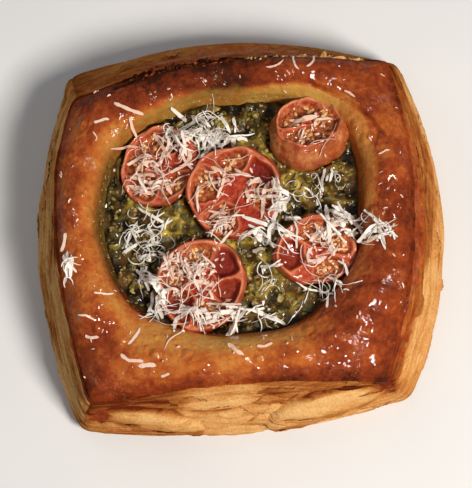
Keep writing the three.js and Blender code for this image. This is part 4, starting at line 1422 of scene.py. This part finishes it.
class Ground:
    """Heights of everything that shreds can lie on, on a grid, raised as shreds are laid."""

    def __init__(self, pieces):
        points, faces = [], []
        for piece in pieces:
            offset = len(points)
            points.extend(vertex.co.copy() for vertex in piece.data.vertices)
            for polygon in piece.data.polygons:
                faces.append([i + offset for i in polygon.vertices])
        tree = BVHTree.FromPolygons(points, faces)
        line = np.arange(int(2 * GRID_HALF / GRID_STEP) + 1) * GRID_STEP - GRID_HALF
        self.heights = np.zeros((len(line), len(line)))
        top = np.array([0, 0, 2 * EDGE_HEIGHT])
        for i, j in np.ndindex(self.heights.shape):
            start = to_frame(top + (line[i], line[j], 0))
            hit = tree.ray_cast(Vector(start), Vector((0, 0, -1)))[0]
            if hit is not None:
                self.heights[i, j] = hit.z / MM
        self.bare = self.heights.copy()

    @staticmethod
    def cell(*place):
        steps = (np.round((np.asarray(value) + GRID_HALF) / GRID_STEP) for value in place)
        return [np.clip(step, 2, 2 * GRID_HALF / GRID_STEP - 2).astype(int) for step in steps]

    def at(self, x, y):
        i, j = self.cell(x, y)
        near = [self.heights[i + di, j + dj] for di in (-1, 0, 1) for dj in (-1, 0, 1)]
        return np.max(near, axis=0)

    def pile(self, x, y):
        """Mean depth of the shreds already laid along a path."""
        i, j = self.cell(x, y)
        return float(np.mean(self.heights[i, j] - self.bare[i, j]))

    def raise_to(self, x, y, height, reach):
        cells = max(1, int(round(reach / GRID_STEP)))
        for i, j, z in zip(*self.cell(x, y), height):
            patch = self.heights[i - cells : i + cells + 1, j - cells : j + cells + 1]
            np.maximum(patch, z, out=patch)


def shred_path(random, x, y, bearing, length, curl, restless):
    """Plan points of a shred whose bearing turns steadily, wanders and has a kink."""
    steps = max(5, int(length / STEP_LENGTH))
    share = np.linspace(0, 1, steps)
    kink = random.normal(0, KINK) * (share > random.uniform(0.25, 0.75))
    wandered = np.cumsum(random.normal(0, restless, steps))
    headings = bearing + curl * (share - 0.5) + kink + wandered
    moves = np.stack([np.cos(headings), np.sin(headings)], axis=-1) * length / steps
    path = np.concatenate([[(0, 0)], np.cumsum(moves, axis=0)])
    return path - path.mean(axis=0) + (x, y)


def settled(support, arch, stiffness):
    """Heights at which a shred comes to rest: it bridges hollows and arches a little."""
    resting = support.copy()
    for _ in range(stiffness):
        padded = np.pad(resting, 1, mode="edge")
        resting = np.maximum(support, (padded[:-2] + 2 * padded[1:-1] + padded[2:]) / 4)
    return resting + arch * np.sin(math.pi * np.linspace(0, 1, len(support)))


def unit_rows(vectors):
    return vectors / (np.linalg.norm(vectors, axis=1, keepdims=True) + 1e-9)


def shred_shape(random, path, heights, width, thickness, roll, twist):
    """A flat strip along a path, rolled about it, with ragged sides and torn ends."""
    middle = np.column_stack([path, heights + thickness / 2])
    ahead = unit_rows(np.gradient(middle, axis=0))
    across = unit_rows(np.cross(ahead, (0, 0, 1.0)))
    above = np.cross(across, ahead)
    share = np.linspace(0, 1, len(path))[:, None]
    angle = roll + twist * share
    over = across * np.cos(angle) + above * np.sin(angle)
    up = above * np.cos(angle) - across * np.sin(angle)
    ends = random.uniform(0.25, 0.9, 2)
    taper = np.minimum(1, np.minimum(ends[0] + 4 * share, ends[1] + 4 * (1 - share)))
    ragged = 1 + random.uniform(-SIDE_RAGGED, SIDE_RAGGED, (len(path), 1))
    corners = [
        middle + taper * (a * over * width * ragged + b * up * thickness) / 2
        for a, b in ((-1, -1), (1, -1), (1, 1), (-1, 1))
    ]
    for corner, end, onward in ((0, 0, -1), (3, 0, -1), (1, -1, 1), (2, -1, 1)):
        corners[corner][end] += onward * ahead[end] * END_TORN * width * random.random()
    last = 4 * (len(path) - 1)
    faces = [(0, 1, 2, 3), (last + 3, last + 2, last + 1, last)]
    for low in range(0, last, 4):
        for k, m in ((0, 1), (1, 2), (2, 3), (3, 0)):
            faces.append((low + k, low + 4 + k, low + 4 + m, low + m))
    return np.stack(corners, axis=1).reshape(-1, 3), faces


def lay_shred(random, ground, spec, kind, stained, made):
    """Adds a shred to `made`, unless it would hang far down over an edge."""
    *_, width, curl = spec
    path = shred_path(random, *spec[:4], curl, kind.wander)
    support = ground.at(*path.T)
    if np.ptp(support) > MOST_FALL:
        return
    heights = settled(support, random.uniform(0, kind.arch), kind.stiffness)
    roll = random.normal(0, kind.roll)
    if kind is THREAD:
        twist, thickness = random.normal(0, kind.twist), width * THREAD_FLATNESS
    else:
        twist, thickness = random.uniform(-kind.twist, kind.twist), RIBBON_THICKNESS
    points, faces = shred_shape(random, path, heights, width, thickness, roll, twist)
    lifted = np.ptp(points[:, 2].reshape(-1, 4), axis=1)
    points[:, 2] += np.repeat(0.4 * lifted, 4)
    soaked = math.exp(-ground.pile(*path.T) / SOAK_DEPTH)
    ground.raise_to(*path.T, heights + 0.5 * lifted, width / 2)
    tint = stained * (0.7 + 0.8 * soaked) if stained else -PESTO_SOAK * soaked
    tint = np.clip(tint + random.normal(0, 0.1), -0.8, 0.9)
    made.append((points, faces, {"stained": tint}))


def drawn_sizes(random, kind, curly):
    """Random length, width and curl of a shred."""
    if kind is CRUMB:
        return random.uniform(*kind.length), random.uniform(*kind.width), kind.curl
    least, steps, step = kind.length
    length, width = least + random.gamma(steps, step), random.uniform(*kind.width)
    curl = random.normal(0, kind.curl * (curly if kind is THREAD else 1))
    return length, width, np.clip(curl, -MOST_CURL, MOST_CURL)


def make_cheese(material, ground):
    """Shreds on the rim and in drifts, each laid on what lies there already."""
    random = np.random.default_rng(31)
    threads, ribbons, crumbs = [], [], []
    for x, y, bearing, length, width, curl in RIM_RIBBONS:
        spec = (x, y, math.radians(bearing), length, width, math.radians(curl))
        lay_shred(random, ground, spec, MELTED, RIM_STAIN, ribbons)
    kinds = (CRUMB, crumbs), (RIBBON, ribbons), (THREAD, threads)
    for x, y, half_x, half_y, *counts, curly, stained in DRIFTS:
        for (kind, made), count in zip(kinds, reversed(counts)):
            for _ in range(count):
                dx, dy = random.normal(0, DRIFT_SPREAD, 2)
                length, width, curl = drawn_sizes(random, kind, curly)
                bearing = random.uniform(0, TURN)
                place = (x + half_x * dx, y + half_y * dy)
                spec = (*place, bearing, length, width, curl)
                lay_shred(random, ground, spec, kind, stained, made)
                if kind is RIBBON and random.random() < FORKED:
                    prong = (*place, bearing + FORK_SPREAD, 0.9 * length, 0.6 * width, -curl)
                    lay_shred(random, ground, prong, kind, stained, made)
    skin = outline_points(SKIN_OUTLINE, np.arange(400) / 100)
    for _ in range(RIM_CRUMBS):
        place = skin[random.integers(0, 400)]
        lip = recess_points(angle_from_recess(*place), 0)
        x, y = place + (lip - place) * random.uniform(0.03, 0.97)
        bearing, length = random.uniform(0, TURN), random.uniform(*RIM_CRUMB_LENGTH)
        spec = (x, y, bearing, length, random.uniform(*RIM_CRUMB_WIDTH), RIM_CRUMB_CURL)
        lay_shred(random, ground, spec, CRUMB, RIM_STAIN, crumbs)
    make_scatter("cheese_threads", [], threads, material)
    make_scatter("cheese_ribbons", [], ribbons, material, smooth=False)
    make_scatter("cheese_crumbs", [], crumbs, material, smooth=False)


# ---------------------------------------------------------------- floor, light and camera

# The photograph's view: from straight above, tipped towards the front and a little to the
# right, with 0.28 mm to the pixel at the aim.
AIM = np.array([-0.87, -2.61, 15.0])
VIEW_TIP_FRONT = math.radians(12)
VIEW_TIP_RIGHT = math.radians(3)
VIEW_DISTANCE = 550.0
PIXEL_MM = 0.28
FRAME_HEIGHT_PX = 488
SENSOR_MM = 36.0
# Just under the part, so that the two don't fight for the same pixels.
FLOOR_HALF = 2.0
FLOOR_HEIGHT = -0.0001
# Lights: name, bearing and elevation in degrees, distance, size, watts, colour.
KEY_LIGHT = ("key", -40, 52, 0.9, 0.2, 9.4, (1.0, 0.95, 0.88))
FILL_LIGHT = ("fill", 130, 60, 1.0, 0.9, 1.5, (0.94, 0.97, 1.0))
WORLD_COLOUR = (0.97, 0.97, 1.0, 1)
WORLD_STRENGTH = 0.16


def make_camera():
    back = np.array([math.tan(VIEW_TIP_RIGHT), -math.tan(VIEW_TIP_FRONT), 1.0])
    back /= np.linalg.norm(back)
    right = np.cross((0, 1, 0), back)
    right /= np.linalg.norm(right)
    data = bpy.data.cameras.new("camera")
    data.sensor_width = SENSOR_MM
    data.lens = SENSOR_MM * VIEW_DISTANCE / (PIXEL_MM * FRAME_HEIGHT_PX)
    camera = added("camera", data)
    axes = Matrix(np.column_stack([right, np.cross(back, right), back]).tolist()).to_4x4()
    camera.matrix_world = Matrix.Translation(to_frame(AIM + back * VIEW_DISTANCE)) @ axes
    bpy.context.scene.camera = camera


def make_floor(material):
    mesh = bpy.data.meshes.new("floor")
    corners = [(-FLOOR_HALF, -FLOOR_HALF, 0), (FLOOR_HALF, -FLOOR_HALF, 0)]
    corners += [(FLOOR_HALF, FLOOR_HALF, 0), (-FLOOR_HALF, FLOOR_HALF, 0)]
    mesh.from_pydata(corners, [], [(0, 1, 2, 3)])
    mesh.materials.append(material)
    floor = added("floor", mesh)
    floor.location.z = FLOOR_HEIGHT


def add_light(name, bearing, elevation, distance, size, watts, colour):
    """A square soft light, aimed at the pastry."""
    data = bpy.data.lights.new(name, "AREA")
    data.size, data.energy, data.color = size, watts, colour
    light = added(name, data)
    bearing, elevation = math.radians(bearing), math.radians(elevation)
    level = math.cos(elevation)
    towards = Vector((level * math.cos(bearing), level * math.sin(bearing), math.sin(elevation)))
    light.location = towards * distance
    light.rotation_euler = towards.to_track_quat("Z", "Y").to_euler()
    return light


def make_lights():
    add_light(*KEY_LIGHT)
    add_light(*FILL_LIGHT).visible_glossy = False
    world = bpy.data.worlds.new("studio")
    world.use_nodes = True
    background = world.node_tree.nodes["Background"]
    background.inputs["Color"].default_value = WORLD_COLOUR
    background.inputs["Strength"].default_value = WORLD_STRENGTH
    bpy.context.scene.world = world
    bpy.context.scene.view_settings.view_transform = "Standard"


# ---------------------------------------------------------------- the scene

make_camera()
make_lights()
make_floor(floor_material())

crust = crust_material()
crust_pieces = [make_crust_side(crust), make_crust_skin(crust)]
make_flakes(crust)
make_crumbs(crust)
pesto = make_pesto(pesto_material())
tomato_looks = tomato_material()
tomatoes = [make_tomato(tomato, tomato_looks) for tomato in TOMATOES]
make_pesto_bits(bits_material())
make_seeds(seed_material())
make_cheese(cheese_material(), Ground([*crust_pieces, pesto, *tomatoes]))
